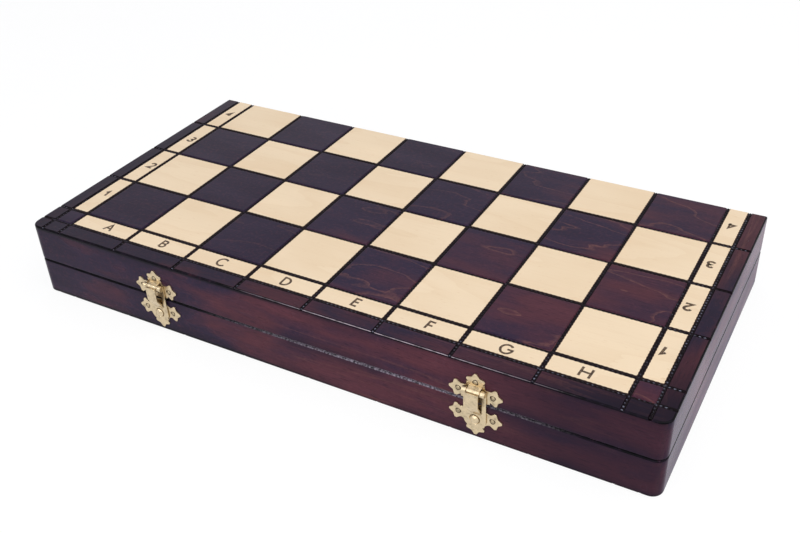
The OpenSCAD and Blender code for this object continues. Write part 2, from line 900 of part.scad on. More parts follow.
// What lies in each column, front to back
COLUMNS = [
  [PAWN, PAWN, PAWN, PAWN],
  [PAWN, PAWN, PAWN, PAWN],
  [KING, QUEEN],
  [BISHOP, BISHOP, ROOK],
  [KNIGHT, KNIGHT, ROOK]
];

function man_length(kind) = men_scale * laid_length(kind[0], kind[1], kind[2], kind[3]);
function total_length(col, n) = n == 0 ? 0 : man_length(col[n - 1]) + total_length(col, n - 1);
function spare(col) = (well_y1 - well_y0 - total_length(col, len(col))) / (len(col) + 1);

// Front end of man n of a column, with the spare length shared between the men
function man_y(col, n) = well_y0 + spare(col) * (n + 1) + total_length(col, n);

// Draws the children for every man of one kind in one colour's end of the case
module each_man(kind, side) {
  for (c = [0 : len(COLUMNS) - 1])
    for (n = [0 : len(COLUMNS[c]) - 1])
      if (COLUMNS[c][n] == kind)
        translate([side * column_x(c), man_y(COLUMNS[c], n), bed_z]) scale(men_scale)
          translate([0, kind[0] * sin(lay_angle(kind[0], kind[1], kind[2])) + pad_t, 0])
            laid(kind[0], kind[1], kind[2]) children();
}

module men(kind, side, tint) {
  color(tint) each_man(kind, side) children();
}

module foot_pads(side) {
  color(felt_colour)
    for (kind = [PAWN, ROOK, BISHOP, KNIGHT, QUEEN, KING])
      each_man(kind, side) translate([0, 0, -pad_t]) cylinder(r = kind[0] - foot_h / 2, h = pad_t);
}

color(wood_dark) difference() {  // base_front_rail
  as_base() front_rail();
  translate([0, 0, half_h]) at_clasps() clasp_holes(base_nails, true);
}
color(wood_dark) as_base() back_rail();  // base_back_rail
color(wood_dark) as_base() left_rail();  // base_left_rail
color(wood_dark) as_base() right_rail();  // base_right_rail
color(wood_ply) as_base() panel_core();  // base_panel
color(wood_field) as_base() fields(false, 1);  // base_light_fields
color(wood_stain) as_base() fields(true, 1);  // base_dark_fields
color(felt_colour) as_base() lining();  // base_lining
color(wood_dark) difference() {  // lid_front_rail
  as_lid() front_rail();
  translate([0, 0, half_h]) at_clasps() clasp_holes(lid_nails, false);
}
color(wood_dark) as_lid() back_rail();  // lid_back_rail
color(wood_dark) as_lid() left_rail();  // lid_left_rail
color(wood_dark) as_lid() right_rail();  // lid_right_rail
color(wood_ply) as_lid() panel_core();  // lid_panel
color(wood_field) as_lid() fields(false, 0);  // lid_light_fields
color(wood_stain) as_lid() fields(true, 0);  // lid_dark_fields
color(felt_colour) as_lid() lining();  // lid_lining

as_base() at_hinge(-1) base_leaf();  // left_hinge_base_leaf
as_lid() at_hinge(-1) lid_leaf();  // left_hinge_lid_leaf
as_base() at_hinge(-1) hinge_pin();  // left_hinge_pin
as_base() at_hinge(1) base_leaf();  // right_hinge_base_leaf
as_lid() at_hinge(1) lid_leaf();  // right_hinge_lid_leaf
as_base() at_hinge(1) hinge_pin();  // right_hinge_pin
as_base() hinge_screws();  // hinge_base_screws
as_lid() hinge_screws();  // hinge_lid_screws

as_lid() at_clasp(-1) clasp_lid_plate();  // left_clasp_lid_plate
as_lid() at_clasp(-1) clasp_base_plate();  // left_clasp_base_plate
as_lid() at_clasp(-1) clasp_hasp();  // left_clasp_hasp
as_lid() at_clasp(-1) clasp_pin();  // left_clasp_pin
as_lid() at_clasp(-1) clasp_stud();  // left_clasp_stud
as_lid() at_clasp(1) clasp_lid_plate();  // right_clasp_lid_plate
as_lid() at_clasp(1) clasp_base_plate();  // right_clasp_base_plate
as_lid() at_clasp(1) clasp_hasp();  // right_clasp_hasp
as_lid() at_clasp(1) clasp_pin();  // right_clasp_pin
as_lid() at_clasp(1) clasp_stud();  // right_clasp_stud
as_lid() clasp_nails(lid_nails);  // clasp_lid_nails
as_lid() clasp_nails(base_nails);  // clasp_base_nails

men(KING, -1, wood_light) king_shape();  // white_king
men(QUEEN, -1, wood_light) queen_shape();  // white_queen
men(BISHOP, -1, wood_light) bishop_shape();  // white_bishops
men(KNIGHT, -1, wood_light) knight_shape();  // white_knights
men(ROOK, -1, wood_light) rook_shape();  // white_rooks
men(PAWN, -1, wood_light) pawn_shape();  // white_pawns
foot_pads(-1);  // white_foot_pads
men(KING, 1, wood_dark) king_shape();  // black_king
men(QUEEN, 1, wood_dark) queen_shape();  // black_queen
men(BISHOP, 1, wood_dark) bishop_shape();  // black_bishops
men(KNIGHT, 1, wood_dark) knight_shape();  // black_knights
men(ROOK, 1, wood_dark) rook_shape();  // black_rooks
men(PAWN, 1, wood_dark) pawn_shape();  // black_pawns
foot_pads(1);  // black_foot_pads
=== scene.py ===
"""Folding chess set, shut: the finish of every piece, in metres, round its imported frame.

The upper half of the case, the lid, shows ranks 1 to 4 of the board, and the base ranks 5 to 8 underneath.
Both halves are made alike: the base's pieces are the lid's, mirrored in height, with light and dark changed.
"""

import json
import math

import bpy
import numpy as np
from mathutils import Matrix, Vector

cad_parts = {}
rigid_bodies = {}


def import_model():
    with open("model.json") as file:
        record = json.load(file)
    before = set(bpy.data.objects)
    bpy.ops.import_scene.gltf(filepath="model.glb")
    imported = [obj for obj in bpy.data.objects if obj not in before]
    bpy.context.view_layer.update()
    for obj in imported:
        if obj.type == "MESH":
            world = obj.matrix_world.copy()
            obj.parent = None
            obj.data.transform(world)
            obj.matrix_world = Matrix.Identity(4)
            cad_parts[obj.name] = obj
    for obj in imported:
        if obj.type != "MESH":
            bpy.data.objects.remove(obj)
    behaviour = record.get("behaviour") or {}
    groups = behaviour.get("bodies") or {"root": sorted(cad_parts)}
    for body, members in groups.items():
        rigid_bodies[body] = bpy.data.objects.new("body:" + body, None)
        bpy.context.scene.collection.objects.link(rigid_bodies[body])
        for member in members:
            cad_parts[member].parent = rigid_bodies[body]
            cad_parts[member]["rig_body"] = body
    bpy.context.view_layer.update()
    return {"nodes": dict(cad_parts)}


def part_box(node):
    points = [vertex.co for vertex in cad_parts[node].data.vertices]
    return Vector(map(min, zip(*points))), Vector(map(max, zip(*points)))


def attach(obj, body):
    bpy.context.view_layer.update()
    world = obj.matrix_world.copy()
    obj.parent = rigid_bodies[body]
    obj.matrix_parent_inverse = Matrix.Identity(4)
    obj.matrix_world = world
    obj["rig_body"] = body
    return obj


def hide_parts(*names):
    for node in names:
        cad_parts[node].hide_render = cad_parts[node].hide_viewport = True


bl_info = {
    "name": "Folding chess set",
    "version": (1, 0, 0),
    "blender": (4, 5, 0),
    "location": "3D View > Sidebar > Chess set",
    "description": "Finishes a folding chess set round its packed frame",
    "category": "Object",
}

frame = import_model()
MM = 0.001

# Places that come from the frame
CASE_LOW, CASE_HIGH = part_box("lid_front_rail")
PANEL_LOW, PANEL_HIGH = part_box("lid_panel")
FACE_Z = CASE_HIGH.z
FOLD_Y = PANEL_HIGH.y
VENEER = FACE_Z - PANEL_HIGH.z
FOLD_HEIGHT = CASE_LOW.z
FILES = 8
RANKS = 4
HALVES = {"lid": 0, "base": 1}

# Satin varnish reflects less than gloss: its level stands for rubbed-down varnish over open pores
VARNISH = 0.1


# Colours and nodes


def colour(hex_code):
    """Linear colour of an sRGB hex value."""
    channels = [int(hex_code[k:k + 2], 16) / 255 for k in (1, 3, 5)]
    return tuple(c / 12.92 if c <= 0.04045 else ((c + 0.055) / 1.055) ** 2.4 for c in channels) + (1.0,)


def shade(tone, share):
    """A colour with its light scaled by a share."""
    return tuple(c * share for c in tuple(tone)[:3]) + (1.0,)


def mixed_tone(first, second, share):
    """Colour a share of the way from the first to the second."""
    return tuple(a * (1 - share) + b * share for a, b in zip(tuple(first), tuple(second)))


def add(tree, kind, inputs=(), out=0, stops=(), **settings):
    """Adds a shader node with its settings and links, and gives back one of its outputs.

    inputs lists the values of the node's sockets in their order, or maps a socket to its value. A value may
    be another node's output. stops are a ramp's places and colours. A map range's sockets are its value, the
    two ends that it comes from and the two that it goes to, each pair 0 and 1 where it is left out.
    """
    made = tree.nodes.new("ShaderNode" + kind)
    for name, value in settings.items():
        setattr(made, name, value)
    for key, value in inputs.items() if isinstance(inputs, dict) else enumerate(inputs):
        if isinstance(value, bpy.types.NodeSocket):
            tree.links.new(value, made.inputs[key])
        else:
            made.inputs[key].default_value = value
    for place, tone in stops[2:]:
        made.color_ramp.elements.new(place)
    for k, (place, tone) in enumerate(stops):
        made.color_ramp.elements[k].position = place
        made.color_ramp.elements[k].color = tone
    return made.outputs[out] if made.outputs else None


def coats(tree, ground, *layers):
    """Lays coats over a ground colour, one after another: each is its cover, from 0 to 1, and its colour."""
    tone = ground
    for cover, coat in layers:
        tone = add(tree, "Mix", {0: cover, 6: tone, 7: coat}, 2, data_type="RGBA")
    return tone


def off(tree, height, level):
    """How far a height lies from a level, up or down."""
    above = add(tree, "Math", [height, level], operation="SUBTRACT")
    return add(tree, "Math", [above], operation="ABSOLUTE")


def new_material(name):
    """An empty node material and its tree."""
    made = bpy.data.materials.new(name)
    made.use_nodes = True
    made.node_tree.nodes.clear()
    return made, made.node_tree


def finish(tree, tone, roughness, height, height_mm, **fixed):
    """Closes a material with its colour, its roughness, a bump and fixed values.

    A height of 0 to 1 stands for height_mm. A fixed value's name is its socket's, with _ for each space.
    """
    bump = add(tree, "Bump", {"Height": height, "Distance": height_mm * MM, "Strength": 1.0})
    inputs = {"Base Color": tone, "Roughness": roughness, "Normal": bump}
    inputs.update({name.replace("_", " "): value for name, value in fixed.items()})
    add(tree, "OutputMaterial", {"Surface": add(tree, "BsdfPrincipled", inputs)})


# Woods


def grain_space(tree, along):
    """Object coordinates in millimetres, turned so that the grain runs along x."""
    turn = {"x": (0, 0, 0), "y": (0, 0, math.pi / 2), "z": (0, math.pi / 2, 0)}[along]
    place = add(tree, "TexCoord", out="Object")
    return add(tree, "Mapping", {"Vector": place, "Rotation": turn, "Scale": (1 / MM,) * 3})


def streaks(tree, space, length, width, detail=3.0, rough=0.55):
    """Noise in streaks of the given length and width in millimetres, from 0 to 1."""
    scaled = add(tree, "Mapping", {"Vector": space, "Scale": (1 / length, 1 / width, 1 / width)})
    return add(tree, "TexNoise", {"Vector": scaled, "Scale": 1.0, "Detail": detail, "Roughness": rough})


def ring_lines(tree, space, length, width, count, fade, jagged=0.35):
    """Growth rings cut on the slant: contour lines of soft noise that is long along the grain.

    count lines share the noise's height. Each fades in over a share of the way from the last and ends
    sharply, as late wood does. jagged is the noise's roughness.
    """
    soft = streaks(tree, space, length, width, 4.0, jagged)
    height = add(tree, "Math", [soft, count], operation="MULTIPLY")
    share = add(tree, "Math", [height], operation="FRACT")
    return add(tree, "MapRange", [share, 1 - fade, 1.0])


def rightwards(tree, share):
    """How far a point lies towards the set's right front, in millimetres: x less a share of y."""
    place = add(tree, "SeparateXYZ", [add(tree, "TexCoord", out="Object")]).node.outputs
    right = add(tree, "Math", [place[0], 1 / MM], operation="MULTIPLY")
    return add(tree, "Math", [place[1], -share / MM, right], operation="MULTIPLY_ADD")


def dark_clouds_and_shade_line(tree, space, place, pools):
    """Where a wall is darker: in clouds by the fold and the outer edges, and in painted shade on their rim.

    The clouds thin out towards the middle of each half's height, and the rim to the set's right front.
    """
    height = add(tree, "SeparateXYZ", [add(tree, "TexCoord", out="Object")], 2)
    off_fold = off(tree, height, FOLD_HEIGHT)
    off_middle = off(tree, off_fold, FOLD_HEIGHT / 2)
    outwards = add(tree, "MapRange", [off_middle, 4 * MM, 11 * MM, 0, pools])
    cloudy = add(tree, "MapRange", [streaks(tree, space, 45, 30), 0.42, 0.58])
    # A line of painted shade beside the rounding of the playing face's edge, stronger to the left
    at_shade_line = add(tree, "MapRange", [off_fold, 20.4 * MM, 21.4 * MM])
    leftwards = add(tree, "MapRange", [place, 20, 90, 0.9, 0.3])
    return (add(tree, "Math", [outwards, cloudy], operation="MULTIPLY"),
            add(tree, "Math", [at_shade_line, leftwards], operation="MULTIPLY"))


def stained_wood(name, tones, along, deep, red, line, rings, rough, clouding=1.0, taking=0.52,
                 reddens=(-60, 150), corner_shade=(300, 365, 0.0), bloom=0.0, pools=0.0, index=1.5):
    """Close-grained wood under a dark water stain and a satin varnish.

    The stain clouds from purple-black to red-brown: clouding scales the clouds and taking is how red they
    are. It turns redder towards the set's right front, between the two places of reddens. Painted shade
    darkens that corner between the first two of corner_shade, by the share that is third. The stain stays off
    the late wood in thin paler lines, whose rings are the sizes that ring_lines takes. It speckles where the
    wood is spongy, and fills the pores, which are drawn about twice as wide as they are, because the true
    ones are finer than a pixel. bloom is a violet sheen that paints the tint of a reflection.
    pools is how dark the wood clouds over along the fold of the case and along its outer edges, and
    where it is set, a black line of painted shade runs along the outer edges too. index is the varnish's
    index of refraction: lower where it soaked in and mirrors less.
    """
    made, tree = new_material(name)
    space = grain_space(tree, along)
    cloud = streaks(tree, space, 70, 22, 3.0, 0.55)
    fibre = streaks(tree, space, 14, 1.0, 3.0)
    pores = streaks(tree, space, 5, 0.6, 2.0, 0.4)
    speckle = add(tree, "TexNoise", {"Vector": space, "Scale": 0.55, "Detail": 3.0, "Roughness": 0.7})
    place = rightwards(tree, 0.7)
    redder = add(tree, "MapRange", [place, *reddens, -0.1, 0.07])
    clouded = add(tree, "MapRange", [cloud, 0, 1, taking - 0.5 * clouding, taking + 0.5 * clouding])
    taken = add(tree, "Math", [clouded, redder], operation="ADD")
    ground = add(tree, "ValToRGB", [taken], stops=[
        (0.36, shade(deep, 0.72)), (0.47, deep), (0.6, red), (0.75, shade(red, 1.3))])
    broken = add(tree, "MapRange", [speckle, 0.2, 0.55, 0, 0.48])
    rising = add(tree, "MapRange", [place, -80, 90, 0.12])
    shown = add(tree, "Math", [broken, rising], operation="MULTIPLY")
    lines = add(tree, "Math", [ring_lines(tree, space, *rings), shown], operation="MULTIPLY")
    tone = coats(
        tree, ground,
        (add(tree, "MapRange", [speckle, 0.5, 0.8, 0, 0.35]), shade(red, 1.6)),
        (lines, line),
        (add(tree, "MapRange", [fibre, 0.3, 0.7, 0.3, 0]), shade(deep, 0.5)),
        (add(tree, "MapRange", [pores, 0.3, 0.4, 0.4, 0]), shade(deep, 0.3)),
        # Painted shade: darker towards the set's right front corner
        (add(tree, "MapRange", [rightwards(tree, 2.0), *corner_shade[:2], 0, corner_shade[2]]),
         shade(deep, 0.35)))
    if pools:
        # Darker clouds by the fold and the outer edges, and a black line of painted shade beside the face's
        # edge
        edge_cloud, rim = dark_clouds_and_shade_line(tree, space, place, pools)
        tone = coats(tree, tone, (edge_cloud, shade(deep, 0.5)), (rim, tones.pooled))
    satin = add(tree, "MapRange", [cloud, 0.35, 0.65, rough + 0.05, rough - 0.03])
    relief = add(tree, "Math", [fibre, pores], operation="MULTIPLY")
    # The varnish's violet specular tint, and the end walls' violet sheen, paint the tint of a reflection
    finish(tree, tone, satin, relief, height_mm=0.05, Specular_IOR_Level=VARNISH,
           Specular_Tint=tones.varnish, Sheen_Weight=bloom, Sheen_Roughness=0.4, Sheen_Tint=tones.haze,
           IOR=index)
    return made


def bare_wood(name, tones, along, ground, line, rings, rough, figure=1.0):
    """Pale close-grained wood under clear varnish: nearly even, with faint ring lines, fibres and freckles.

    figure scales how strongly lines and fibres show. Where the piece's burn attribute rises to 1, the wood
    is scorched brown and then black.
    """
    made, tree = new_material(name)
    space = grain_space(tree, along)
    fibre = streaks(tree, space, 24, 0.8, 4.0)
    cloud = streaks(tree, space, 90, 40, 2.0)
    freckle = streaks(tree, space, 4, 0.7, 1.0)
    burn = add(tree, "Attribute", out="Fac", attribute_name="burn")
    clouded = add(tree, "ValToRGB", [cloud], stops=[
        (0.32, mixed_tone(ground, line, 0.16)), (0.52, ground), (0.72, shade(ground, 1.03))])
    tone = coats(
        tree, clouded,
        (add(tree, "MapRange", [ring_lines(tree, space, *rings), 0, 1, 0, 0.14 * figure]), line),
        (add(tree, "MapRange", [fibre, 0.5, 0.8, 0, 0.16 * figure]), line),
        (add(tree, "MapRange", [freckle, 0.7, 0.8, 0, 0.5]), line),
        (add(tree, "MapRange", [burn, 0.05, 0.5]), tones.scorch),
        (add(tree, "MapRange", [burn, 0.4, 0.75]), tones.singed))
    satin = add(tree, "MapRange", [fibre, 0.3, 0.8, rough - 0.04, rough + 0.08])
    finish(tree, tone, satin, fibre, height_mm=0.03, Specular_IOR_Level=VARNISH)
    return made


def stained_veneer(tones):
    """Birch face veneer, peeled from the log, stained and varnished: few thin paler rings, like contours."""
    return stained_wood("stained_birch_veneer", tones, "x", tones.stain, tones.stain_red, tones.stain_line,
                        rings=(105, 30, 6, 0.1, 0.38), rough=0.34, clouding=0.45, taking=0.49,
                        reddens=(-70, 140))


def bare_veneer(tones):
    """Birch face veneer, peeled from the log, under clear varnish: cream, nearly plain."""
    return bare_wood("bare_birch_veneer", tones, "x", tones.bare, tones.bare_line,
                     rings=(130, 30, 6, 0.5), rough=0.38)


def stained_rail(tones, along, place):
    """Beech rail, stained dark and varnished, with its grain along an axis: straighter rings.

    Its playing face is darker than its walls. Painted shade darkens both at the set's right front corner.
    The walls cloud darker by their edges and carry a line of painted shade along the outer edges, and on
    the end walls the varnish soaked in and a violet sheen paints the tint of a reflection.
    """
    # Each place's stain depth, redness, reddening, painted shade at the right front corner, and dark clouds
    # by the edges
    deepness, taking, reddens, corner_shade, pools = {
        "wall": (1.2, 0.55, (0, 60), (265, 330, 0.6), 0.75),
        "face": (0.72, 0.5, (-90, 60), (275, 350, 0.85), 0.0)}[place]
    # The end walls' violet sheen is a painted reflection tint
    bloom, index = (0.075, 1.31) if (along, place) == ("y", "wall") else (0.0, 1.5)
    return stained_wood(f"stained_beech_rail_{along}_{place}", tones, along, shade(tones.stain, deepness),
                        shade(tones.stain_red, deepness), mixed_tone(tones.stain_line, tones.stain_red, 0.5),
                        rings=(240, 15, 5, 0.12), rough=0.28, clouding=0.7, taking=taking, reddens=reddens,
                        corner_shade=corner_shade, bloom=bloom, pools=pools, index=index)


def pooled_stain(tones):
    """Rounded outer edges of the rails, painted near black as shade, with painted highlights.

    Painted highlights lie as speckles on the lips where the halves meet and as a thin line on the edge
    of the playing face, both along the middle of the set. Heights are millimetres from the fold of the case.
    """
    made, tree = new_material("pooled_stain_on_edges")
    space = grain_space(tree, "x")
    patch = add(tree, "TexNoise", {"Vector": space, "Scale": 0.1, "Detail": 5.0, "Roughness": 0.7})
    speck = add(tree, "TexNoise", {"Vector": space, "Scale": 0.9, "Detail": 4.0, "Roughness": 0.7})
    place = add(tree, "SeparateXYZ", [space]).node.outputs
    height = off(tree, place[2], FOLD_HEIGHT / MM)
    ends = add(tree, "MapRange", [place[0], 150, 80])
    crest = (FACE_Z - FOLD_HEIGHT) / MM - 0.28
    # Painted shade: the roundings are near black, in patches of dark stain
    tone = add(tree, "ValToRGB", [patch], stops=[
        (0.45, tones.pooled), (0.6, shade(tones.stain, 0.35)), (0.75, shade(tones.stain_red, 0.7))])
    # Each painted highlight's height, half its breadth, how it grows to the right, how it breaks up, and its
    # tone
    for level, reach, grows, breaks, rubbed in (
            (0.6, 0.6, (place[0], -70, 30, 0, 0.85), (speck, 0.42, 0.58, 0.1), tones.lip),
            (crest, 0.13, (place[0], -50, 20), (patch, 0.4, 0.52, 0.3), tones.rubbed)):
        cover = add(tree, "Math", [height, level, reach], operation="COMPARE")
        for share in (add(tree, "MapRange", grows), add(tree, "MapRange", breaks), ends):
            cover = add(tree, "Math", [cover, share], operation="MULTIPLY")
        tone = coats(tree, tone, (cover, rubbed))
    gloss = add(tree, "MapRange", [patch, 0.35, 0.65, 0.12, 0.3])
    finish(tree, tone, gloss, speck, height_mm=0.06, Specular_IOR_Level=VARNISH / 2)
    return made


def burnt_groove(tones):
    """Groove burnt by a hot toothed wheel and varnished over: shiny char, browner where it burnt less.

    Where the painted glints' attribute rises to 1, on the ridges' tops, a pale blue-grey glint is painted.
    """
    made, tree = new_material("burnt_varnished_groove")
    space = grain_space(tree, "x")
    char = add(tree, "TexNoise", {"Vector": space, "Scale": 0.8, "Detail": 4.0, "Roughness": 0.6})
    patch = add(tree, "TexNoise", {"Vector": space, "Scale": 0.16, "Detail": 3.0, "Roughness": 0.7})
    burnt = add(tree, "ValToRGB", [char], stops=[
        (0.35, shade(tones.char, 0.6)), (0.6, tones.char), (0.78, tones.char_brown)])
    # Painted glints: pale blue-grey on the ridges' tops, in patches
    rubbed = add(tree, "Attribute", out="Fac", attribute_name="rubbed")
    patchy = add(tree, "MapRange", [patch, 0.44, 0.58])
    glinting = add(tree, "Math", [rubbed, patchy], operation="MULTIPLY")
    tone = coats(tree, burnt, (glinting, mixed_tone(tones.groove_glint, tones.char, 0.3)))
    shine = add(tree, "MapRange", [char, 0.3, 0.8, 0.1, 0.24])
    finish(tree, tone, shine, char, height_mm=0.05, Specular_IOR_Level=VARNISH / 2)
    return made


def plywood_edge(tones):
    """Edge of birch plywood: plies about 1 mm thick, by turns along and across the cut, and dark glue."""
    made, tree = new_material("birch_plywood")
    space = grain_space(tree, "x")
    height = add(tree, "SeparateXYZ", [space], 2)
    ply = add(tree, "Math", [height, 1.05], operation="PINGPONG")
    grain = streaks(tree, space, 9, 0.25)
    wood = add(tree, "ValToRGB", [grain], stops=[
        (0.3, shade(tones.bare_line, 0.6)), (0.55, tones.bare_line), (0.8, tones.bare)])
    tone = coats(tree, wood, (add(tree, "MapRange", [ply, 0.45, 0.6]), shade(tones.bare_line, 0.75)),
                 (add(tree, "MapRange", [ply, 0, 0.08, 0.8, 0]), tones.glue))
    finish(tree, tone, 0.6, grain, height_mm=0.05, Specular_IOR_Level=0.3)
    return made


def natural_hornbeam(tones):
    """Turned hornbeam under clear varnish: a little deeper than the veneer, fine straight fibres."""
    return bare_wood("turned_hornbeam_natural", tones, "y", shade(tones.bare, 0.82),
                     shade(tones.bare_line, 0.6), rings=(90, 5, 6, 0.4), rough=0.3, figure=3.5)


def stained_hornbeam(tones):
    """Turned hornbeam, stained and varnished like the rails."""
    return stained_wood("turned_hornbeam_stained", tones, "y", tones.stain, tones.stain_red,
                        tones.stain_line, rings=(90, 6, 4, 0.4), rough=0.34)


# Felt, metals and ink


def wool_felt(tones):
    """Pressed wool felt: matt, with short curled fibres and a soft bloom at grazing angles.

    The fibres are drawn 0.4 mm apart, some ten times as coarse as wool, so that they show.
    """
    made, tree = new_material("green_wool_felt")
    space = grain_space(tree, "x")
    fibre = add(tree, "TexNoise", {
        "Vector": space, "Scale": 2.6, "Detail": 5.0, "Roughness": 0.75, "Distortion": 0.6})
    matting = add(tree, "TexNoise", {"Vector": space, "Scale": 0.12, "Detail": 3.0, "Roughness": 0.6})
    wool = add(tree, "ValToRGB", [fibre], stops=[
        (0.3, shade(tones.felt, 0.6)), (0.5, tones.felt), (0.75, shade(tones.felt, 1.7))])
    matted = add(tree, "MapRange", [matting, 0.4, 0.7, 0, 0.3])
    tone = coats(tree, wool, (matted, shade(tones.felt, 1.5)))
    finish(tree, tone, 0.95, fibre, height_mm=0.25, Sheen_Weight=0.2, Sheen_Roughness=0.5)
    return made


def metal(name, tone, rough, dent_mm, dent_depth):
    """Metal with dents a few millimetres across, fine scratches, and thin tarnish in clouds."""
    made, tree = new_material(name)
    space = grain_space(tree, "z")
    scratch = streaks(tree, space, 3, 0.4)
    dents = add(tree, "TexNoise", {"Vector": space, "Scale": 1 / dent_mm, "Detail": 2.0, "Roughness": 0.5})
    cloud = add(tree, "TexNoise", {"Vector": space, "Scale": 0.4, "Detail": 4.0, "Roughness": 0.65})
    tarnished = add(tree, "ValToRGB", [cloud], stops=[
        (0.3, shade(tone, 0.6)), (0.45, shade(tone, 0.9)), (0.6, tone)])
    dull = add(tree, "MapRange", [cloud, 0.3, 0.65, rough + 0.12, rough - 0.04])
    uneven = add(tree, "MapRange", [scratch, 0.3, 0.8, -0.03, 0.06])
    roughness = add(tree, "Math", [dull, uneven], operation="ADD")
    finish(tree, tarnished, roughness, dents, height_mm=dent_depth, Metallic=1.0)
    return made


def stamped_brass(tones):
    """Thin brass-plated steel sheet, stamped: pale gold, buckled by the press, bright where it turns."""
    return metal("stamped_brass_plate", tones.brass, rough=0.3, dent_mm=2.2, dent_depth=0.16)


def dull_nail(tones):
    """Plated steel nail heads, knocked in: darker and duller than the plates."""
    return metal("tarnished_nail_heads", shade(tones.brass, 0.62), rough=0.42, dent_mm=1.0, dent_depth=0.08)


def dirt(tones):
    """Painted shade round a nail head: brown-black, matt, with paler specks."""
    made, tree = new_material("gathered_dirt")
    space = grain_space(tree, "x")
    crumb = add(tree, "TexNoise", {"Vector": space, "Scale": 2.0, "Detail": 3.0, "Roughness": 0.6})
    tone = add(tree, "ValToRGB", [crumb], stops=[(0.35, tones.dirt), (0.7, tones.dust)])
    finish(tree, tone, 0.6, crumb, height_mm=0.03, Specular_IOR_Level=VARNISH)
    return made


def hinge_brass(tones):
    """Drawn brass of the butt hinges: deeper gold, flat, a little dull."""
    return metal("drawn_brass", tones.hinge, rough=0.32, dent_mm=4.0, dent_depth=0.05)


def steel_wire(tones):
    """Bright drawn steel wire of the hinge pins."""
    return metal("drawn_steel_wire", tones.steel, rough=0.25, dent_mm=3.0, dent_depth=0.02)


def stamping_ink(tones):
    """Brown stamping ink, thin in places and a little soaked in."""
    made, tree = new_material("brown_stamping_ink")
    space = grain_space(tree, "x")
    patchy = add(tree, "TexNoise", {"Vector": space, "Scale": 1.2, "Detail": 3.0, "Roughness": 0.6})
    tone = add(tree, "ValToRGB", [patchy], stops=[
        (0.4, tones.ink), (0.6, mixed_tone(tones.ink, tones.bare_line, 0.18)),
        (0.75, mixed_tone(tones.ink, tones.bare_line, 0.5))])
    finish(tree, tone, 0.5, patchy, height_mm=0.01, Specular_IOR_Level=VARNISH)
    return made


MADE = {}


def kept(make, *args):
    """The material that a function makes, made once for the same words."""
    key = make.__name__ + "".join(args)
    if key not in MADE:
        MADE[key] = make(bpy.context.scene.chess_finishes, *args)
    return MADE[key]


# Meshes


def put_mesh(name, points, faces, material, body, stands_for=(), slot=None, smooth=30, **marks):
    """Makes a finished piece: its mesh, material, smooth shading below an angle, body and CAD nodes.

    material is one or a list. marks are attributes by name, with a value for each point.
    """
    mesh = bpy.data.meshes.new(name)
    mesh.from_pydata(np.asarray(points).tolist(), [], faces)
    mesh.update()
    piece = bpy.data.objects.new(name, mesh)
    bpy.context.scene.collection.objects.link(piece)
    for one in material if isinstance(material, (list, tuple)) else [material]:
        mesh.materials.append(one)
    for mark, values in marks.items():
        mesh.attributes.new(mark, "FLOAT", "POINT").data.foreach_set("value", np.asarray(values, np.float32))
    mesh.shade_smooth()
    mesh.set_sharp_from_angle(angle=math.radians(smooth))
    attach(piece, body)
    if stands_for:
        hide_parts(*stands_for)
    return piece


def join(shapes):
    """Puts several (points, faces) together, with each shape's indices moved past those before it."""
    points, faces, start = [], [], 0
    for shape_points, shape_faces in shapes:
        points.append(shape_points)
        faces.extend([[start + k for k in face] for face in shape_faces])
        start += len(shape_points)
    return np.concatenate(points), faces


def grid_faces(rows, columns, closed):
    """Quads between the rows of a grid, joined round from last to first column where closed."""
    last = columns if closed else columns - 1
    row, column = np.meshgrid(np.arange(rows - 1), np.arange(last), indexing="ij")
    beside = (column + 1) % columns
    quads = np.stack([row * columns + column, row * columns + beside,
                      (row + 1) * columns + beside, (row + 1) * columns + column], -1)
    return quads.reshape(-1, 4).tolist()


def stack(rings):
    """Closed solid with flat ends from outlines stacked upwards, each counter-clockwise from above."""
    rings = np.asarray(rings)
    rows, columns = rings.shape[:2]
    top = list(range((rows - 1) * columns, rows * columns))
    bottom = list(range(columns))[::-1]
    return rings.reshape(-1, 3), grid_faces(rows, columns, True) + [top, bottom]


def in_half(half, points, faces):
    """A shape of the lid as it is, or mirrored in the middle height of the case for the base."""
    if half == "lid":
        return points, faces
    turned = points * np.array([1, 1, -1]) + np.array([0, 0, FACE_Z])
    return turned, [face[::-1] for face in faces]


def rounded_rectangle(x0, x1, y0, y1, radius, fold_radius, counts):
    """Rectangle with quarter-circle corners, counter-clockwise, and its outward directions.

    The corners at y1 take fold_radius. counts gives the points along x and along y.
    """
    per_corner = 4
    radii = np.array([radius, fold_radius, fold_radius, radius])
    corners = np.array([[x1, y0], [x1, y1], [x0, y1], [x0, y0]])
    centres = corners + radii[:, None] * [[-1, 1], [-1, -1], [1, -1], [1, 1]]
    starts = np.radians([-90, 0, 90, 180])
    points, ways = [], []
    for k in range(4):
        angle = starts[k] + np.linspace(0, math.pi / 2, per_corner + 1)
        arc_way = np.stack([np.cos(angle), np.sin(angle)], -1)
        arc = centres[k] + radii[k] * arc_way
        after = (k + 1) % 4
        way = np.array([math.cos(angle[-1]), math.sin(angle[-1])])
        next_start = centres[after] + radii[after] * way
        share = np.linspace(0, 1, counts[k % 2] + 2)[1:-1, None]
        side = arc[-1] * (1 - share) + next_start * share
        points += [arc, side]
        ways += [arc_way, np.tile(way, (len(side), 1))]
    return np.concatenate(points), np.concatenate(ways)


# Settings


def length(name, description, millimetres):
    """A length setting with its default in millimetres."""
    return bpy.props.FloatProperty(name=name, description=description, default=millimetres * MM,
                                   unit="LENGTH")


def bearing(name, description, degrees):
    """An angle setting with its default in degrees."""
    return bpy.props.FloatProperty(name=name, description=description, default=math.radians(degrees),
                                   subtype="ANGLE")


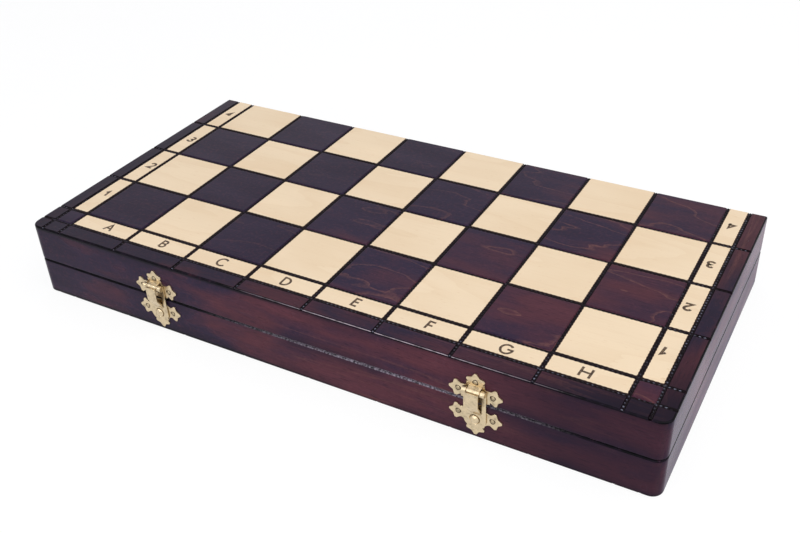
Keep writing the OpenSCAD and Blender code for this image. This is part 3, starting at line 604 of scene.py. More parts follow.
def tint(name, description, hex_code):
    """A colour setting with its default in sRGB hex."""
    return bpy.props.FloatVectorProperty(name=name, description=description, default=colour(hex_code), size=4,
                                         min=0, max=1, subtype="COLOR")


class ChessBoardSizes(bpy.types.PropertyGroup):
    """Sizes of the board's fields, grooves and lettering."""
    square: length("Square", "Side of one square", 42)
    letter_w: length("Letter strip", "Width of the light strip that carries the letters", 13.5)
    edge_r: length("Edge rounding", "Rounding of the rails' outer edges at the playing face", 1)
    groove_w: length("Groove width", "Width of a burnt groove at the surface", 2.2)
    groove_floor: length("Groove floor", "Width of a burnt groove at its floor", 1)
    tooth_pitch: length("Tooth pitch", "Spacing of the marks that the hot wheel leaves", 2.4)
    stroke: length("Stroke", "Width of a letter's stroke", 1.2)


class ChessFinishes(bpy.types.PropertyGroup):
    """Colours of the woods, the char, the felt, the metals and the ink, and of painted shade and highlights.
    """
    stain: tint("Stain", "Dark stain where it lies deepest", "#2B2034")
    stain_red: tint("Red stain", "Dark stain where it clouds to red", "#522C33")
    stain_line: tint("Ring lines", "Late wood that took less of the stain", "#86594E")
    # Painted shade on the rails' rounded edges and in a line beside them
    pooled: tint("Pooled stain", "Stain and varnish run together on edges", "#08070C")
    # Painted reflection tint: violet on the varnish's gloss
    varnish: tint("Varnish", "Gloss of the varnish over the stain", "#C8C4F4")
    # Painted reflection tint: the end walls' violet sheen
    haze: tint("Haze", "Bloom on the end walls' varnish", "#8C80FF")
    bare: tint("Bare wood", "Birch under clear varnish", "#F0D9B8")
    bare_line: tint("Bare ring lines", "Late wood under clear varnish", "#D9B588")
    glue: tint("Glue lines", "Glue between the plies", "#4B3019")
    scorch: tint("Scorched wood", "Bare wood beside a burnt groove", "#6B4124")
    singed: tint("Singed wood", "Bare wood in the side of a burnt groove", "#1C1012")
    char: tint("Char", "Burnt grooves", "#160E14")
    char_brown: tint("Brown char", "Grooves where they burnt less", "#2A1B1C")
    felt: tint("Felt", "Linings and foot pads", "#174D33")
    brass: tint("Clasp brass", "Plated sheet of the clasps", "#D6C3A2")
    hinge: tint("Hinge brass", "Drawn brass of the hinges", "#D0B36C")
    steel: tint("Steel", "Wire of the hinge pins", "#C4C4C1")
    # Painted highlight: a thin pale line on the edge of the playing face
    rubbed: tint("Rubbed", "Varnish rubbed pale on the playing face's edges", "#AA9CA4")
    # Painted highlight: pale speckles on the lips where the halves meet
    lip: tint("Rubbed lips", "Varnish rubbed pale where the halves meet", "#A096A4")
    # Painted glints on the grooves' ridges
    groove_glint: tint("Scuffs", "Varnish scuffed pale on the grooves' ridges", "#A0A2B8")
    # Painted shade round the nail heads, and the paler specks in it
    dirt: tint("Dirt", "Old varnish round the nail heads", "#1E1612")
    dust: tint("Dust", "Dust in the dirt round the nail heads", "#5A4836")
    ink: tint("Ink", "Stamped letters and numbers", "#3C302C")


class ChessStageSizes(bpy.types.PropertyGroup):
    """Camera and studio."""
    focal: length("Lens", "Focal length on a 36 mm sensor", 44.2)
    azimuth: bearing("Azimuth", "Way that the camera looks, from +Y towards -X", 29.643)
    elevation: bearing("Elevation", "How far the camera looks down", 34.126)
    roll: bearing("Roll", "How far the picture's right end tips down", 2.19)
    place: bpy.props.FloatVectorProperty(
        name="Place", description="Where the camera stands", size=3, default=(0.24784, -0.41419, 0.34067),
        subtype="TRANSLATION", unit="LENGTH")
    shift: bpy.props.FloatProperty(name="Shift", description="Sideways shift of the picture", default=-0.016)


# Board


def board_lines(board):
    """Places of the grooves across x and across y, with the fold as the last of y."""
    inner = (np.arange(FILES + 1) - FILES / 2) * board.square
    across_x = np.concatenate([[PANEL_LOW.x], inner, [PANEL_HIGH.x]])
    ranks = PANEL_LOW.y + board.letter_w + np.arange(RANKS) * board.square
    across_y = np.concatenate([[PANEL_LOW.y], ranks, [FOLD_Y]])
    return across_x, across_y


def is_dark(column, row, parity):
    """Whether a field is stained. Column 0 and the last are number strips, and row 0 is the letter strip."""
    if column in (0, FILES + 1):
        return row == 0
    return row > 0 and (column + row) % 2 == parity


def tile(x0, x1, y0, y1, at_fold, board):
    """One field: rings from its foot in the groove, up the burnt side, over a worn edge and in over its face.

    The hot wheel's teeth leave the edge in shallow waves, one for each tooth.
    """
    step = board.tooth_pitch / 5
    counts = (max(2, int((y1 - y0) / step)), max(2, int((x1 - x0) / step)))
    foot, edge = board.groove_floor / 2, board.groove_w / 2
    wave, corner = 0.22 * MM, 0.4 * MM
    fold_corner = 0.05 * MM if at_fold else corner
    # How far in from the line, how deep, how burnt and how wavy each ring is
    levels = [(foot, VENEER, 1, 0), (edge - 0.1 * MM, 0.14 * MM, 1, 1), (edge - 0.02 * MM, 0.05 * MM, 1, 1),
              (edge + 0.1 * MM, 0.02 * MM, 0.25, 1), (edge + 0.35 * MM, 0.02 * MM, 0, 0.5),
              (edge + 1.4 * MM, 0.02 * MM, 0, 0)]
    rings, burns = [], []
    for inset, depth, burn, waved in levels:
        fold_inset = 0.03 * MM + 0.04 * inset if at_fold else inset
        outline, ways = rounded_rectangle(x0 + inset, x1 - inset, y0 + inset, y1 - fold_inset,
                                          corner, fold_corner, counts)
        free = np.ones(len(outline)) if not at_fold else (ways[:, 1] < 0.5).astype(float)
        teeth = 0.5 - 0.5 * np.cos(2 * math.pi * (outline[:, 0] + outline[:, 1]) / board.tooth_pitch)
        outline = outline - ways * (teeth * free * waved * wave)[:, None]
        rings.append(np.column_stack([outline, np.full(len(outline), FACE_Z - depth)]))
        burns.append(burn * free)
    return stack(rings) + (np.concatenate(burns),)


class CHESS_OT_fields(bpy.types.Operator):
    """Cut the face veneers into bare and stained fields"""
    bl_idname = "chess.fields"
    bl_label = "Board fields"

    def execute(self, context):
        board = context.scene.chess_board
        xs, ys = board_lines(board)
        for half, parity in HALVES.items():
            for dark, word in ((False, "light"), (True, "dark")):
                tiles = [tile(xs[i], xs[i + 1], ys[j], ys[j + 1], j == RANKS, board)
                         for i in range(FILES + 2) for j in range(RANKS + 1) if is_dark(i, j, parity) == dark]
                points, faces = in_half(half, *join([t[:2] for t in tiles]))
                veneer = kept(stained_veneer if dark else bare_veneer)
                put_mesh(f"{half}_{word}_tiles", points, faces, veneer, half, [f"{half}_{word}_fields"],
                         f"{word}_field", burn=np.concatenate([t[2] for t in tiles]))
        return {"FINISHED"}


def rope(start, end, board):
    """Floor of a groove between two points: slanting ridges, one for each tooth of the hot wheel.

    Across the groove the height is an arch, and along it a cosine whose phase shifts from side to side. The
    ridges rise almost to the playing face, and the hollows go down to the foot of the veneer. Each point's
    painted glint value is high on the ridges' tops, more to the right and most near the case's edges.
    """
    start, end = np.asarray(start), np.asarray(end)
    run = np.linalg.norm(end - start)
    along = (end - start) / run
    side = np.array([along[1], -along[0]])
    half_w = board.groove_w / 2 - 0.15 * MM
    across = np.array([-1, -0.75, -0.35, 0, 0.35, 0.75, 1])
    steps = int(run / (board.tooth_pitch / 8)) + 1
    distance = np.linspace(0, run, steps)[:, None]
    arch = 1 - np.abs(across) ** 2.5
    ridge = 0.5 + 0.5 * np.cos(2 * math.pi * (distance / board.tooth_pitch + 0.22 * across))
    low, high = FACE_Z - VENEER + 0.02 * MM, FACE_Z - 0.1 * MM
    rim, hollow = 0.06 * MM, 0.12 * MM
    z = low + rim + arch * (hollow + (high - low - rim - hollow) * ridge)
    flat = start + distance[..., None] * along + (across * half_w)[None, :, None] * side
    top = np.concatenate([flat, z[..., None]], -1)
    under = top[:, [-1, 0]].copy()
    under[..., 2] = low
    loop = np.concatenate([top, under], 1)
    columns = loop.shape[1]
    ends = [list(range(columns))[::-1], list(range((steps - 1) * columns, steps * columns))]
    # Where the pale glints are painted: on the ridges' tops, more to the right and near the case's edges
    from_edge = np.minimum(CASE_HIGH.x - np.abs(flat[..., 0]), flat[..., 1] - CASE_LOW.y)
    right = np.clip((flat[..., 0] + 120 * MM) / (240 * MM), 0, 1)
    widely = np.clip(1.2 - from_edge / (24 * MM), 0.15, 1) * (0.3 + 0.4 * right)
    share = np.minimum(widely + np.clip(1 - from_edge / (6 * MM), 0, 1), 1)
    on_tops, on_near_side = np.clip(ridge * 2.2 - 1.2, 0, 1), np.abs(across + 0.35) < 0.45
    rubbed = np.zeros((steps, columns))
    rubbed[:, :len(across)] = share * on_tops * on_near_side
    return loop.reshape(-1, 3), grid_faces(steps, columns, True) + ends, rubbed.reshape(-1)


class CHESS_OT_grooves(bpy.types.Operator):
    """Burn the floors of the grooves"""
    bl_idname = "chess.grooves"
    bl_label = "Burnt grooves"

    def execute(self, context):
        board = context.scene.chess_board
        xs, ys = board_lines(board)
        short = 0.6 * MM
        front, left, right = CASE_LOW.y + short, CASE_LOW.x + short, CASE_HIGH.x - short
        for half in HALVES:
            for word, lines in (("file", [((x, front), (x, FOLD_Y - 0.05 * MM)) for x in xs]),
                                ("rank", [((left, y), (right, y)) for y in ys[:-1]])):
                ropes = [rope(*line, board) for line in lines]
                points, faces = in_half(half, *join([r[:2] for r in ropes]))
                put_mesh(f"{half}_{word}_grooves", points, faces, kept(burnt_groove), half, smooth=60,
                         rubbed=np.concatenate([r[2] for r in ropes]))
        return {"FINISHED"}


# Lettering


def arc(x, y, rx, ry, start, end, count=12):
    """Points along an ellipse about (x, y), from one angle to another in degrees."""
    angle = np.radians(np.linspace(start, end, count))
    return [(x + rx * math.cos(a), y + ry * math.sin(a)) for a in angle]


# Each glyph is its width and its strokes, for a height of 1
GLYPHS = {
    "A": (0.86, [[(0, 0), (0.43, 1), (0.86, 0)], [(0.15, 0.36), (0.71, 0.36)]]),
    "B": (0.58, [[(0, 0), (0, 1)] + arc(0.3, 0.77, 0.24, 0.23, 90, -90), [(0, 0.54), (0.3, 0.54)]
                 + arc(0.32, 0.27, 0.26, 0.27, 90, -90) + [(0, 0)]]),
    "C": (0.8, [arc(0.46, 0.5, 0.46, 0.5, 42, 318, 20)]),
    "D": (0.72, [[(0, 0), (0, 1)] + arc(0.24, 0.5, 0.48, 0.5, 90, -90, 16) + [(0, 0)]]),
    "E": (0.56, [[(0.56, 1), (0, 1), (0, 0), (0.56, 0)], [(0, 0.52), (0.5, 0.52)]]),
    "F": (0.54, [[(0.54, 1), (0, 1), (0, 0)], [(0, 0.5), (0.48, 0.5)]]),
    "G": (0.88, [arc(0.46, 0.5, 0.46, 0.5, 42, 360, 22) + [(0.52, 0.5)]]),
    "H": (0.74, [[(0, 0), (0, 1)], [(0.74, 0), (0.74, 1)], [(0, 0.52), (0.74, 0.52)]]),
    "1": (0.32, [[(0, 0.66), (0.27, 0.98), (0.32, 0)]]),
    "2": (0.66, [arc(0.33, 0.71, 0.31, 0.29, 165, -38) + [(0, 0), (0.66, 0)]]),
    "3": (0.64, [arc(0.31, 0.76, 0.28, 0.24, 150, -90) + arc(0.31, 0.27, 0.33, 0.27, 84, -155)]),
    "4": (0.66, [[(0.66, 0.27), (0, 0.27), (0.48, 1), (0.48, 0)]]),
    "5": (0.56, [[(0.5, 1), (0.08, 1), (0.03, 0.55)] + arc(0.27, 0.32, 0.29, 0.32, 132, -150)]),
    "6": (0.58, [[(0.45, 1)] + arc(0.29, 0.31, 0.29, 0.31, 150, 510, 20)]),
    "7": (0.56, [[(0, 1), (0.56, 1), (0.16, 0)]]),
    "8": (0.58, [arc(0.29, 0.77, 0.24, 0.23, -90, 270, 18), arc(0.29, 0.27, 0.29, 0.27, 90, 450, 18)]),
}


def stroke_shape(path, half_w, low, high):
    """A pen stroke along a path: its outline is the path moved to each side, mitred where it turns."""
    path = np.asarray(path, float)
    runs = np.diff(path, axis=0)
    runs /= np.linalg.norm(runs, axis=1)[:, None]
    before = np.vstack([runs[:1], runs])
    after = np.vstack([runs, runs[-1:]])
    mean = before + after
    mean /= np.maximum(np.linalg.norm(mean, axis=1), 1e-6)[:, None]
    reach = half_w / np.maximum((mean * before).sum(1), 0.45)
    side = np.column_stack([-mean[:, 1], mean[:, 0]]) * reach[:, None]
    left, right = path + side, path - side
    section = [np.column_stack([p, np.full(len(p), z)]) for p, z in
               ((right, low), (right, high), (left, high), (left, low))]
    loop = np.stack(section, 1)
    steps, columns = loop.shape[:2]
    ends = [list(range(columns)), list(range((steps - 1) * columns, steps * columns))[::-1]]
    return loop.reshape(-1, 3), [q[::-1] for q in grid_faces(steps, columns, True)] + ends


# How each mark was stamped, in millimetres and degrees: its shift along x and y, its height and its turn
STAMPED = {
    "letters": [(2.5, 0.5, 7.2, -4), (1.0, 0.4, 7, -3), (0.1, 0, 7.7, 0), (0.5, 0, 7.4, 0),
                (1.5, 0.3, 7.1, -5), (2.1, -0.2, 7.3, -4), (0.9, -0.5, 7.9, -2), (-1.6, -0.1, 8, -4)],
    "left": [(-0.4, 2.5, 7, 0), (1.2, 0.4, 7.2, -4), (0.8, -1.1, 7.2, -18), (0.1, 0.8, 6.8, -8)],
    "right": [(-1.3, 2.9, 7.6, -12), (-1, -0.3, 7.2, 0), (-0.5, -0.3, 7, 0), (-0.3, 1.3, 7, -4)],
}


def glyph(symbol, centre, signs, stamped, board):
    """One letter or number: turned, shifted from its field's middle, and mirrored where a sign is negative.

    Each stroke lies a hair above the last, so that no two faces coincide. Numbers took more ink than letters.
    """
    sunk, hair, foot = 0.008 * MM, 0.002 * MM, 0.05 * MM
    width, strokes = GLYPHS[symbol]
    pen = board.stroke * (1.25 if symbol.isdigit() else 1.05)
    along, across, height, turn = stamped
    angle = math.radians(turn)
    turned = np.array([[math.cos(angle), math.sin(angle)], [-math.sin(angle), math.cos(angle)]])
    middle = np.asarray(centre) + np.array([along, across]) * MM
    shapes = []
    for k, path in enumerate(strokes):
        local = (np.asarray(path) - [width / 2, 0.5]) * (height * MM - pen) * signs @ turned
        shapes.append(stroke_shape(local + middle, pen / 2, FACE_Z - foot, FACE_Z - sunk + hair * k))
    return join(shapes)


class CHESS_OT_lettering(bpy.types.Operator):
    """Stamp the letters and numbers of the board"""
    bl_idname = "chess.lettering"
    bl_label = "Letters and numbers"

    def execute(self, context):
        board = context.scene.chess_board
        xs, ys = board_lines(board)
        middle_x, middle_y = (xs[1:] + xs[:-1]) / 2, (ys[1:] + ys[:-1]) / 2
        # Upright on the left and upside down on the right; the base's are mirrored, to read right from below
        ways = {"lid": ((1, 1), (1, 1), (-1, -1)), "base": ((-1, 1), (1, -1), (-1, 1))}
        for half in HALVES:
            letters, left, right = (np.array(way) for way in ways[half])
            marks = [glyph(letter, (x, middle_y[0]), letters, stamped, board)
                     for letter, x, stamped in zip("ABCDEFGH", middle_x[1:], STAMPED["letters"])]
            for j, y in enumerate(middle_y[1:]):
                number = str(j + 1) if half == "lid" else str(2 * RANKS - j)
                marks.append(glyph(number, (middle_x[0], y), left, STAMPED["left"][j], board))
                marks.append(glyph(number, (middle_x[-1], y), right, STAMPED["right"][j], board))
            points, faces = in_half(half, *join(marks))
            put_mesh(f"{half}_lettering", points, faces, kept(stamping_ink), half, smooth=20)
        return {"FINISHED"}


# Pieces that keep their CAD shape, with worn edges and smooth shading


def merged(node):
    """Points and triangles of a CAD node, with the points that its triangles share made one."""
    mesh = frame["nodes"][node].data
    places = np.empty(len(mesh.vertices) * 3)
    mesh.vertices.foreach_get("co", places)
    corners = np.empty(len(mesh.loops), int)
    mesh.loops.foreach_get("vertex_index", corners)
    one_place = 0.0005 * MM
    keys = np.round(places.reshape(-1, 3) / one_place).astype(np.int64)
    unique, first, back = np.unique(keys, axis=0, return_index=True, return_inverse=True)
    triangles = back.reshape(-1)[corners].reshape(-1, 3)
    whole = (np.diff(np.sort(triangles, 1), axis=1) > 0).all(1)
    return places.reshape(-1, 3)[first], triangles[whole]


def finished_copy(node, material, slot, worn=0.0, smooth=35, parts=None):
    """A CAD node's shape, smooth where it is round, with its sharp edges worn round by the given radius.

    parts gives each triangle the number of its material, where there are several.
    """
    points, triangles = merged(node)
    piece = put_mesh(node + "_finished", points, triangles.tolist(), material,
                     frame["nodes"][node]["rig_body"], [node], slot, smooth=smooth)
    if parts is not None:
        piece.data.polygons.foreach_set("material_index", parts(points, triangles).astype(np.int32))
    if worn:
        bevel = piece.modifiers.new("worn edges", "BEVEL")
        bevel.width = worn
        bevel.segments = 2
        bevel.limit_method = "ANGLE"
        bevel.angle_limit = math.radians(40)
    weighted = piece.modifiers.new("flat faces stay flat", "WEIGHTED_NORMAL")
    weighted.keep_sharp = True
    return piece


class CHESS_OT_rails(bpy.types.Operator):
    """Stain the rails, paint shade and highlights on their rounded edges, and burn the grooves' ends in them
    """
    bl_idname = "chess.rails"
    bl_label = "Rails"

    def execute(self, context):
        board = context.scene.chess_board
        xs, ys = board_lines(board)

        def zones(points, triangles):
            """0 on the walls, 1 in a groove, 2 on the roundings of the edges and 3 on the playing face."""
            skin, margin = 0.01 * MM, 0.02 * MM
            corners = points[triangles]
            middle = corners.mean(1)
            depth = np.minimum(FACE_Z - middle[:, 2], middle[:, 2])
            off_x = np.abs(middle[:, :1] - xs).min(1)
            off_y = np.abs(middle[:, 1:2] - ys[:-1]).min(1)
            near = np.minimum(off_x, off_y) < board.groove_w / 2 + margin
            grooved = near & (depth > skin) & (depth < VENEER + margin)
            normal = np.cross(corners[:, 1] - corners[:, 0], corners[:, 2] - corners[:, 0])
            upright = np.abs(normal[:, 2]) / np.maximum(np.linalg.norm(normal, axis=1), 1e-20)
            curved = (upright > 0.02) & (upright < 0.995)
            at_lip = np.abs(middle[:, 2] - FACE_Z / 2) < board.edge_r
            at_end = np.abs(middle[:, 0]) > CASE_HIGH.x - board.edge_r
            at_front = middle[:, 1] < CASE_LOW.y + board.edge_r
            rounded = curved & ((depth < board.edge_r) | (at_lip & (at_end | at_front)))
            return np.select([grooved, rounded, depth < skin], [1, 2, 3], 0)

        for half in HALVES:
            for word, along in (("front", "x"), ("back", "x"), ("left", "y"), ("right", "y")):
                # The roundings take painted shade and painted highlights
                finishes = [kept(stained_rail, along, "wall"), kept(burnt_groove), kept(pooled_stain),
                            kept(stained_rail, along, "face")]
                finished_copy(f"{half}_{word}_rail", finishes, "stained_wood", parts=zones)
        return {"FINISHED"}


class CHESS_OT_panels(bpy.types.Operator):
    """Give the plywood panels their plies"""
    bl_idname = "chess.panels"
    bl_label = "Plywood panels"

    def execute(self, context):
        for half in HALVES:
            finishes = frame["nodes"][half + "_panel"].data.materials
            finishes.clear()
            finishes.append(kept(plywood_edge))
        return {"FINISHED"}


def loose_parts(points, triangles):
    """Point numbers of each solid in a mesh: every point takes the lowest number that it is joined to."""
    label = np.arange(len(points))
    while True:
        lowest = label[triangles].min(1)
        new = label.copy()
        np.minimum.at(new, triangles.reshape(-1), np.repeat(lowest, 3))
        new = new[new]
        if (new == label).all():
            return [np.flatnonzero(label == k) for k in np.unique(label)]
        label = new


def dirt_ring(nail):
    """Ring of painted shade round a nail's head, whose points are given: a low hump, turned about the nail.

    Its outer edge wanders by a sine, and it starts where the head is widest.
    """
    around = 24
    middle = (nail.min(0) + nail.max(0)) / 2
    reach = np.linalg.norm(nail[:, [0, 2]] - middle[[0, 2]], axis=1)
    radius = reach.max()
    face = nail[reach > radius * 0.98, 1].max()
    turn = np.linspace(0, 2 * math.pi, around + 1)[:-1]
    wander = 1 + 0.09 * np.sin(3 * turn + middle[0] / MM)
    # Shares of the head's radius, and millimetres outwards from the wall
    outline = [(0.8, 0.02), (0.8, -0.03), (1.1, -0.05), (1.32, -0.03), (1.38, 0.02)]
    rings = [np.column_stack([middle[0] + radius * r * wander * np.cos(turn), np.full(around, face + h * MM),
                              middle[2] + radius * r * wander * np.sin(turn)]) for r, h in outline]
    count = len(rings) * around
    faces = [[k % count for k in q[::-1]] for q in grid_faces(len(rings) + 1, around, True)]
    return np.concatenate(rings), faces


class CHESS_OT_clasps(bpy.types.Operator):
    """Finish the stamped clasps and their nails"""
    bl_idname = "chess.clasps"
    bl_label = "Clasps"

    def execute(self, context):
        for side in ("left", "right"):
            for word in ("lid_plate", "base_plate", "hasp", "stud", "pin"):
                finished_copy(f"{side}_clasp_{word}", kept(stamped_brass), "clasp_brass", 0.12 * MM)
        for half in HALVES:
            node = f"clasp_{half}_nails"
            finished_copy(node, kept(dull_nail), "clasp_brass")
            # Each nail gets a ring of painted shade round its head
            points, triangles = merged(node)
            rings = [dirt_ring(points[k]) for k in loose_parts(points, triangles)]
            put_mesh(node + "_dirt", *join(rings), kept(dirt), half)
        return {"FINISHED"}


class CHESS_OT_hinges(bpy.types.Operator):
    """Finish the butt hinges, their pins and their screws"""
    bl_idname = "chess.hinges"
    bl_label = "Hinges"

    def execute(self, context):
        for side in ("left", "right"):
            for word in ("base_leaf", "lid_leaf"):
                finished_copy(f"{side}_hinge_{word}", kept(hinge_brass), "hinge_brass", 0.12 * MM)
            finished_copy(side + "_hinge_pin", kept(steel_wire), "steel_pin", 0.2 * MM)
        for node in ("hinge_base_screws", "hinge_lid_screws"):
            finished_copy(node, kept(hinge_brass), "hinge_brass")
        return {"FINISHED"}


class CHESS_OT_men(bpy.types.Operator):
    """Finish the chessmen"""
    bl_idname = "chess.men"
    bl_label = "Chessmen"

    def execute(self, context):
        sides = ("white", natural_hornbeam, "light_men"), ("black", stained_hornbeam, "dark_men")
        for side, make, slot in sides:
            for kind in ("king", "queen", "bishops", "knights", "rooks", "pawns"):
                finished_copy(f"{side}_{kind}", kept(make), slot)
        return {"FINISHED"}


def felt_disc(corners):
    """A punched felt disc in the place of a plain one, whose points are given.

    A half outline, flat at the back and bulged at the rim, is turned about the disc's axis, which is the
    direction in which its points spread least. Its edge wanders by a sine.
    """
    around = 32
    centre = corners.mean(0)
    spread = np.linalg.svd(corners - centre, full_matrices=False)[2]
    axis, first = spread[2], spread[0]
    second = np.cross(axis, first)
    height = (corners - centre) @ axis
    radius = np.linalg.norm(corners - centre - height[:, None] * axis, axis=1).max()
    half = (height.max() - height.min()) / 2
    # Shares of the radius and of half the height
    outline = ((0.55, -0.92), (0.94, -0.95), (0.985, -0.6), (1, 0), (0.985, 0.6), (0.94, 0.95), (0.55, 1))
    turn = np.linspace(0, 2 * math.pi, around + 1)[:-1]
    wander = 1 - 0.006 * (1 + np.sin(5 * turn + 1.3 * centre[0] / MM))
    ring = np.cos(turn)[:, None] * first + np.sin(turn)[:, None] * second
    rings = [centre + radius * r * wander[:, None] * ring + half * h * axis for r, h in outline]
    return stack(rings)


class CHESS_OT_foot_pads(bpy.types.Operator):
    """Glue a felt disc under each man"""
    bl_idname = "chess.foot_pads"
    bl_label = "Foot pads"

    def execute(self, context):
        for side in ("white", "black"):
            points, triangles = merged(side + "_foot_pads")
            discs = [felt_disc(points[k]) for k in loose_parts(points, triangles)]
            put_mesh(side + "_felt_discs", *join(discs), kept(wool_felt), "base", [side + "_foot_pads"],
                     "pad_felt")
        return {"FINISHED"}


# Felt linings


def felt_slab(low, high, upward):
    """A felt sheet with a softly uneven upper side, rounded off at its cut edges.

    The upper side is the sheet's plane less a sum of long sine waves, and falls by a quarter circle at the
    edge. Its points lie one pitch apart, and closer over the rounding.
    """
    pitch, rounding = 4 * MM, 1 * MM
    inset = np.array([0, 0.4 * rounding, rounding])
    xs, ys = (np.concatenate([low[k] + inset, np.arange(low[k] + pitch, high[k] - 0.75 * pitch, pitch),
                              (high[k] - inset)[::-1]]) for k in (0, 1))
    x, y = np.meshgrid(xs, ys, indexing="ij")
    edge = np.minimum.reduce([x - low[0], high[0] - x, y - low[1], high[1] - y])
    fall = np.sqrt(np.clip(1 - (1 - np.clip(edge / rounding, 0, 1)) ** 2, 0, 1))
    wave = (np.sin(x * 95 + 1) * np.sin(y * 120 + 2) + np.sin(x * 41 + y * 63)) / 4 + 0.5
    thickness = high[2] - low[2]
    lift = thickness * (0.45 + 0.55 * fall) - 0.1 * MM * wave
    face, back = (low[2], 1) if upward else (high[2], -1)
    top = np.stack([x, y, face + back * lift], -1).reshape(-1, 3)
    bottom = np.stack([x, y, np.full_like(x, face)], -1).reshape(-1, 3)
    rows, columns = x.shape
    quads = grid_faces(rows, columns, False)
    count = rows * columns
    rim = ([(r, 0) for r in range(rows - 1)] + [(rows - 1, c) for c in range(columns - 1)]
           + [(r, columns - 1) for r in range(rows - 1, 0, -1)] + [(0, c) for c in range(columns - 1, 0, -1)])
    ring = [r * columns + c for r, c in rim]
    sides = [[ring[k - 1], ring[k], ring[k] + count, ring[k - 1] + count] for k in range(len(ring))]
    faces = [q[::-1] for q in quads] + [[k + count for k in q] for q in quads] + [s[::-1] for s in sides]
    return np.concatenate([top, bottom]), [f[::-1] for f in faces] if not upward else faces


class CHESS_OT_linings(bpy.types.Operator):
    """Lay the felt linings"""
    bl_idname = "chess.linings"
    bl_label = "Felt linings"

    def execute(self, context):
        for half in HALVES:
            low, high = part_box(half + "_lining")
            points, faces = felt_slab(low, high, half == "base")
            piece = put_mesh(half + "_felt", points, faces, kept(wool_felt), half, [half + "_lining"],
                             "lining_felt", smooth=60)
        return {"FINISHED"}


# Stage


# Lamps: name, place, size in metres, power in watts and colour
LAMPS = (
    ("overhead", (0.7, -0.3, 1.4), (2.4, 2.0), 26.0, "#FFFFFF"),
    ("front", (-0.1, -1.7, 0.7), (1.4, 0.6), 5.0, "#FFFFFF"),
    ("right", (1.7, -0.2, 0.6), (0.9, 0.6), 3.0, "#F2F4FF"),
    ("key", (-0.77, -0.93, 1.0), (0.35, 0.12), 2.5, "#FFFFFF"),
    ("back_strip", (-0.55, 0.75, 1.2), (0.6, 0.06), 2.0, "#D4DEFF"),
)


def seen_directly(tree):
    """1 to the camera, in gloss and through glass, and 0 for light that surfaces give one another."""
    path = add(tree, "LightPath").node.outputs
    seen = add(tree, "Math", [path["Is Camera Ray"], path["Is Glossy Ray"]], operation="MAXIMUM")
    return add(tree, "Math", [seen, path["Is Transmission Ray"]], operation="MAXIMUM")


def studio_world():
    """Even dim room, which is white where it is seen directly."""
    world = bpy.data.worlds.new("studio")
    bpy.context.scene.world = world
    world.use_nodes = True
    tree = world.node_tree
    tree.nodes.clear()
    tone = coats(tree, colour("#797A80"), (seen_directly(tree), colour("#FFFFFF")))
    add(tree, "OutputWorld", {"Surface": add(tree, "Background", {"Color": tone, "Strength": 1.0})})


def pale_paper():
    """White paper sweep: it glows where it is seen directly, and else it is a white matt surface.

    From below it lets the camera through.
    """
    made, tree = new_material("white_paper_sweep")
    grain = add(tree, "TexNoise", {"Scale": 900.0, "Detail": 2.0})
    matt = add(tree, "BsdfDiffuse", [coats(tree, colour("#F2F2F2"), (grain, colour("#F6F6F6")))])
    glow = add(tree, "Emission", {"Color": colour("#FFFFFF"), "Strength": 0.88})
    bright = add(tree, "AddShader", [glow, add(tree, "BsdfDiffuse", [colour("#6A6A6A")])])
    paper = add(tree, "MixShader", [seen_directly(tree), matt, bright])
    back, camera = add(tree, "NewGeometry", out="Backfacing"), add(tree, "LightPath", out="Is Camera Ray")
    below = add(tree, "Math", [back, camera], operation="MULTIPLY")
    both = add(tree, "MixShader", [below, paper, add(tree, "BsdfTransparent")])
    add(tree, "OutputMaterial", {"Surface": both})
    return made


def softbox(name, place, aim, size, power, tone):
    """A rectangular lamp that faces a point."""
    lamp = bpy.data.lights.new(name, "AREA")
    lamp.shape = "RECTANGLE"
    lamp.size, lamp.size_y = size
    lamp.energy = power
    lamp.color = colour(tone)[:3]
    made = bpy.data.objects.new(name, lamp)
    made.location = place
    made.rotation_euler = (Vector(aim) - Vector(place)).to_track_quat("-Z", "Y").to_euler()
    bpy.context.scene.collection.objects.link(made)


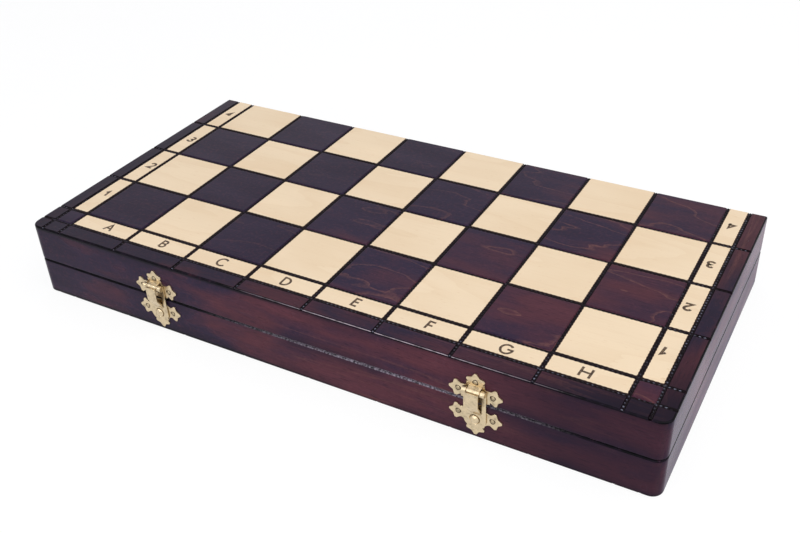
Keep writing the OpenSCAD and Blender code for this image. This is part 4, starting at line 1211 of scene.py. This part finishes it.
class CHESS_OT_stage(bpy.types.Operator):
    """Set up the paper sweep, lamps and camera"""
    bl_idname = "chess.stage"
    bl_label = "Stage"

    def execute(self, context):
        sizes = context.scene.chess_stage
        scene = context.scene
        scene.view_settings.view_transform = "Standard"
        lens = bpy.data.cameras.new("camera")
        lens.sensor_width = 36
        lens.lens = sizes.focal / MM
        lens.shift_x = sizes.shift
        lens.clip_start = 0.01
        camera = bpy.data.objects.new("camera", lens)
        scene.collection.objects.link(camera)
        turn = (Matrix.Rotation(sizes.azimuth, 4, "Z")
                @ Matrix.Rotation(math.pi / 2 - sizes.elevation, 4, "X")
                @ Matrix.Rotation(-sizes.roll, 4, "Z"))
        camera.matrix_world = Matrix.Translation(Vector(sizes.place)) @ turn
        scene.camera = camera
        studio_world()
        # Round sweep: an outline, flat and then turned up into a low wall far out, carried round the middle
        count = 96
        radius = np.array([0, 0.4, 1.2, 2.2, 2.6, 2.85, 2.95, 3.0])
        height = np.array([0, 0, 0, 0, 0.05, 0.22, 0.5, 1.05]) - 0.02 * MM
        around = np.linspace(0, 2 * math.pi, count + 1)[:-1]
        rings = np.stack([np.outer(radius[1:], np.cos(around)), np.outer(radius[1:], np.sin(around)),
                          np.repeat(height[1:, None], count, 1)], -1)
        points = np.concatenate([[[0, 0, height[0]]], rings.reshape(-1, 3)])
        fan = [[0, 1 + k, 1 + (k + 1) % count] for k in range(count)]
        quads = [[1 + k for k in q][::-1] for q in grid_faces(len(radius) - 1, count, True)]
        mesh = bpy.data.meshes.new("sweep")
        mesh.from_pydata(points.tolist(), [], fan + quads)
        mesh.materials.append(pale_paper())
        mesh.shade_smooth()
        sweep = bpy.data.objects.new("sweep", mesh)
        scene.collection.objects.link(sweep)
        for name, place, size, power, tone in LAMPS:
            softbox(name, place, (0, 0, FACE_Z / 2), size, power, tone)
        return {"FINISHED"}


class CHESS_PT_panel(bpy.types.Panel):
    """Lists the steps that finish the chess set"""
    bl_idname = "CHESS_PT_panel"
    bl_label = "Folding chess set"
    bl_space_type = "VIEW_3D"
    bl_region_type = "UI"
    bl_category = "Chess set"

    def draw(self, context):
        for group in GROUPS:
            sizes = getattr(context.scene, group)
            for name in sizes.__annotations__:
                self.layout.prop(sizes, name)
        for step in STEPS:
            self.layout.operator(step.bl_idname)


STEPS = (CHESS_OT_stage, CHESS_OT_rails, CHESS_OT_panels, CHESS_OT_fields, CHESS_OT_grooves,
         CHESS_OT_lettering, CHESS_OT_linings, CHESS_OT_clasps, CHESS_OT_hinges, CHESS_OT_men,
         CHESS_OT_foot_pads)
GROUPS = {"chess_board": ChessBoardSizes, "chess_finishes": ChessFinishes, "chess_stage": ChessStageSizes}
CLASSES = tuple(GROUPS.values()) + STEPS + (CHESS_PT_panel,)


def register():
    """Registers the classes and their settings."""
    for one in CLASSES:
        bpy.utils.register_class(one)
    for name, group in GROUPS.items():
        setattr(bpy.types.Scene, name, bpy.props.PointerProperty(type=group))


def unregister():
    """Takes the settings and classes back."""
    for name in GROUPS:
        delattr(bpy.types.Scene, name)
    for one in reversed(CLASSES):
        bpy.utils.unregister_class(one)


def main():
    """Runs every step in order."""
    register()
    bpy.ops.chess.stage()
    bpy.ops.chess.rails()
    bpy.ops.chess.panels()
    bpy.ops.chess.fields()
    bpy.ops.chess.grooves()
    bpy.ops.chess.lettering()
    bpy.ops.chess.linings()
    bpy.ops.chess.clasps()
    bpy.ops.chess.hinges()
    bpy.ops.chess.men()
    bpy.ops.chess.foot_pads()


if __name__ == "__main__":
    main()
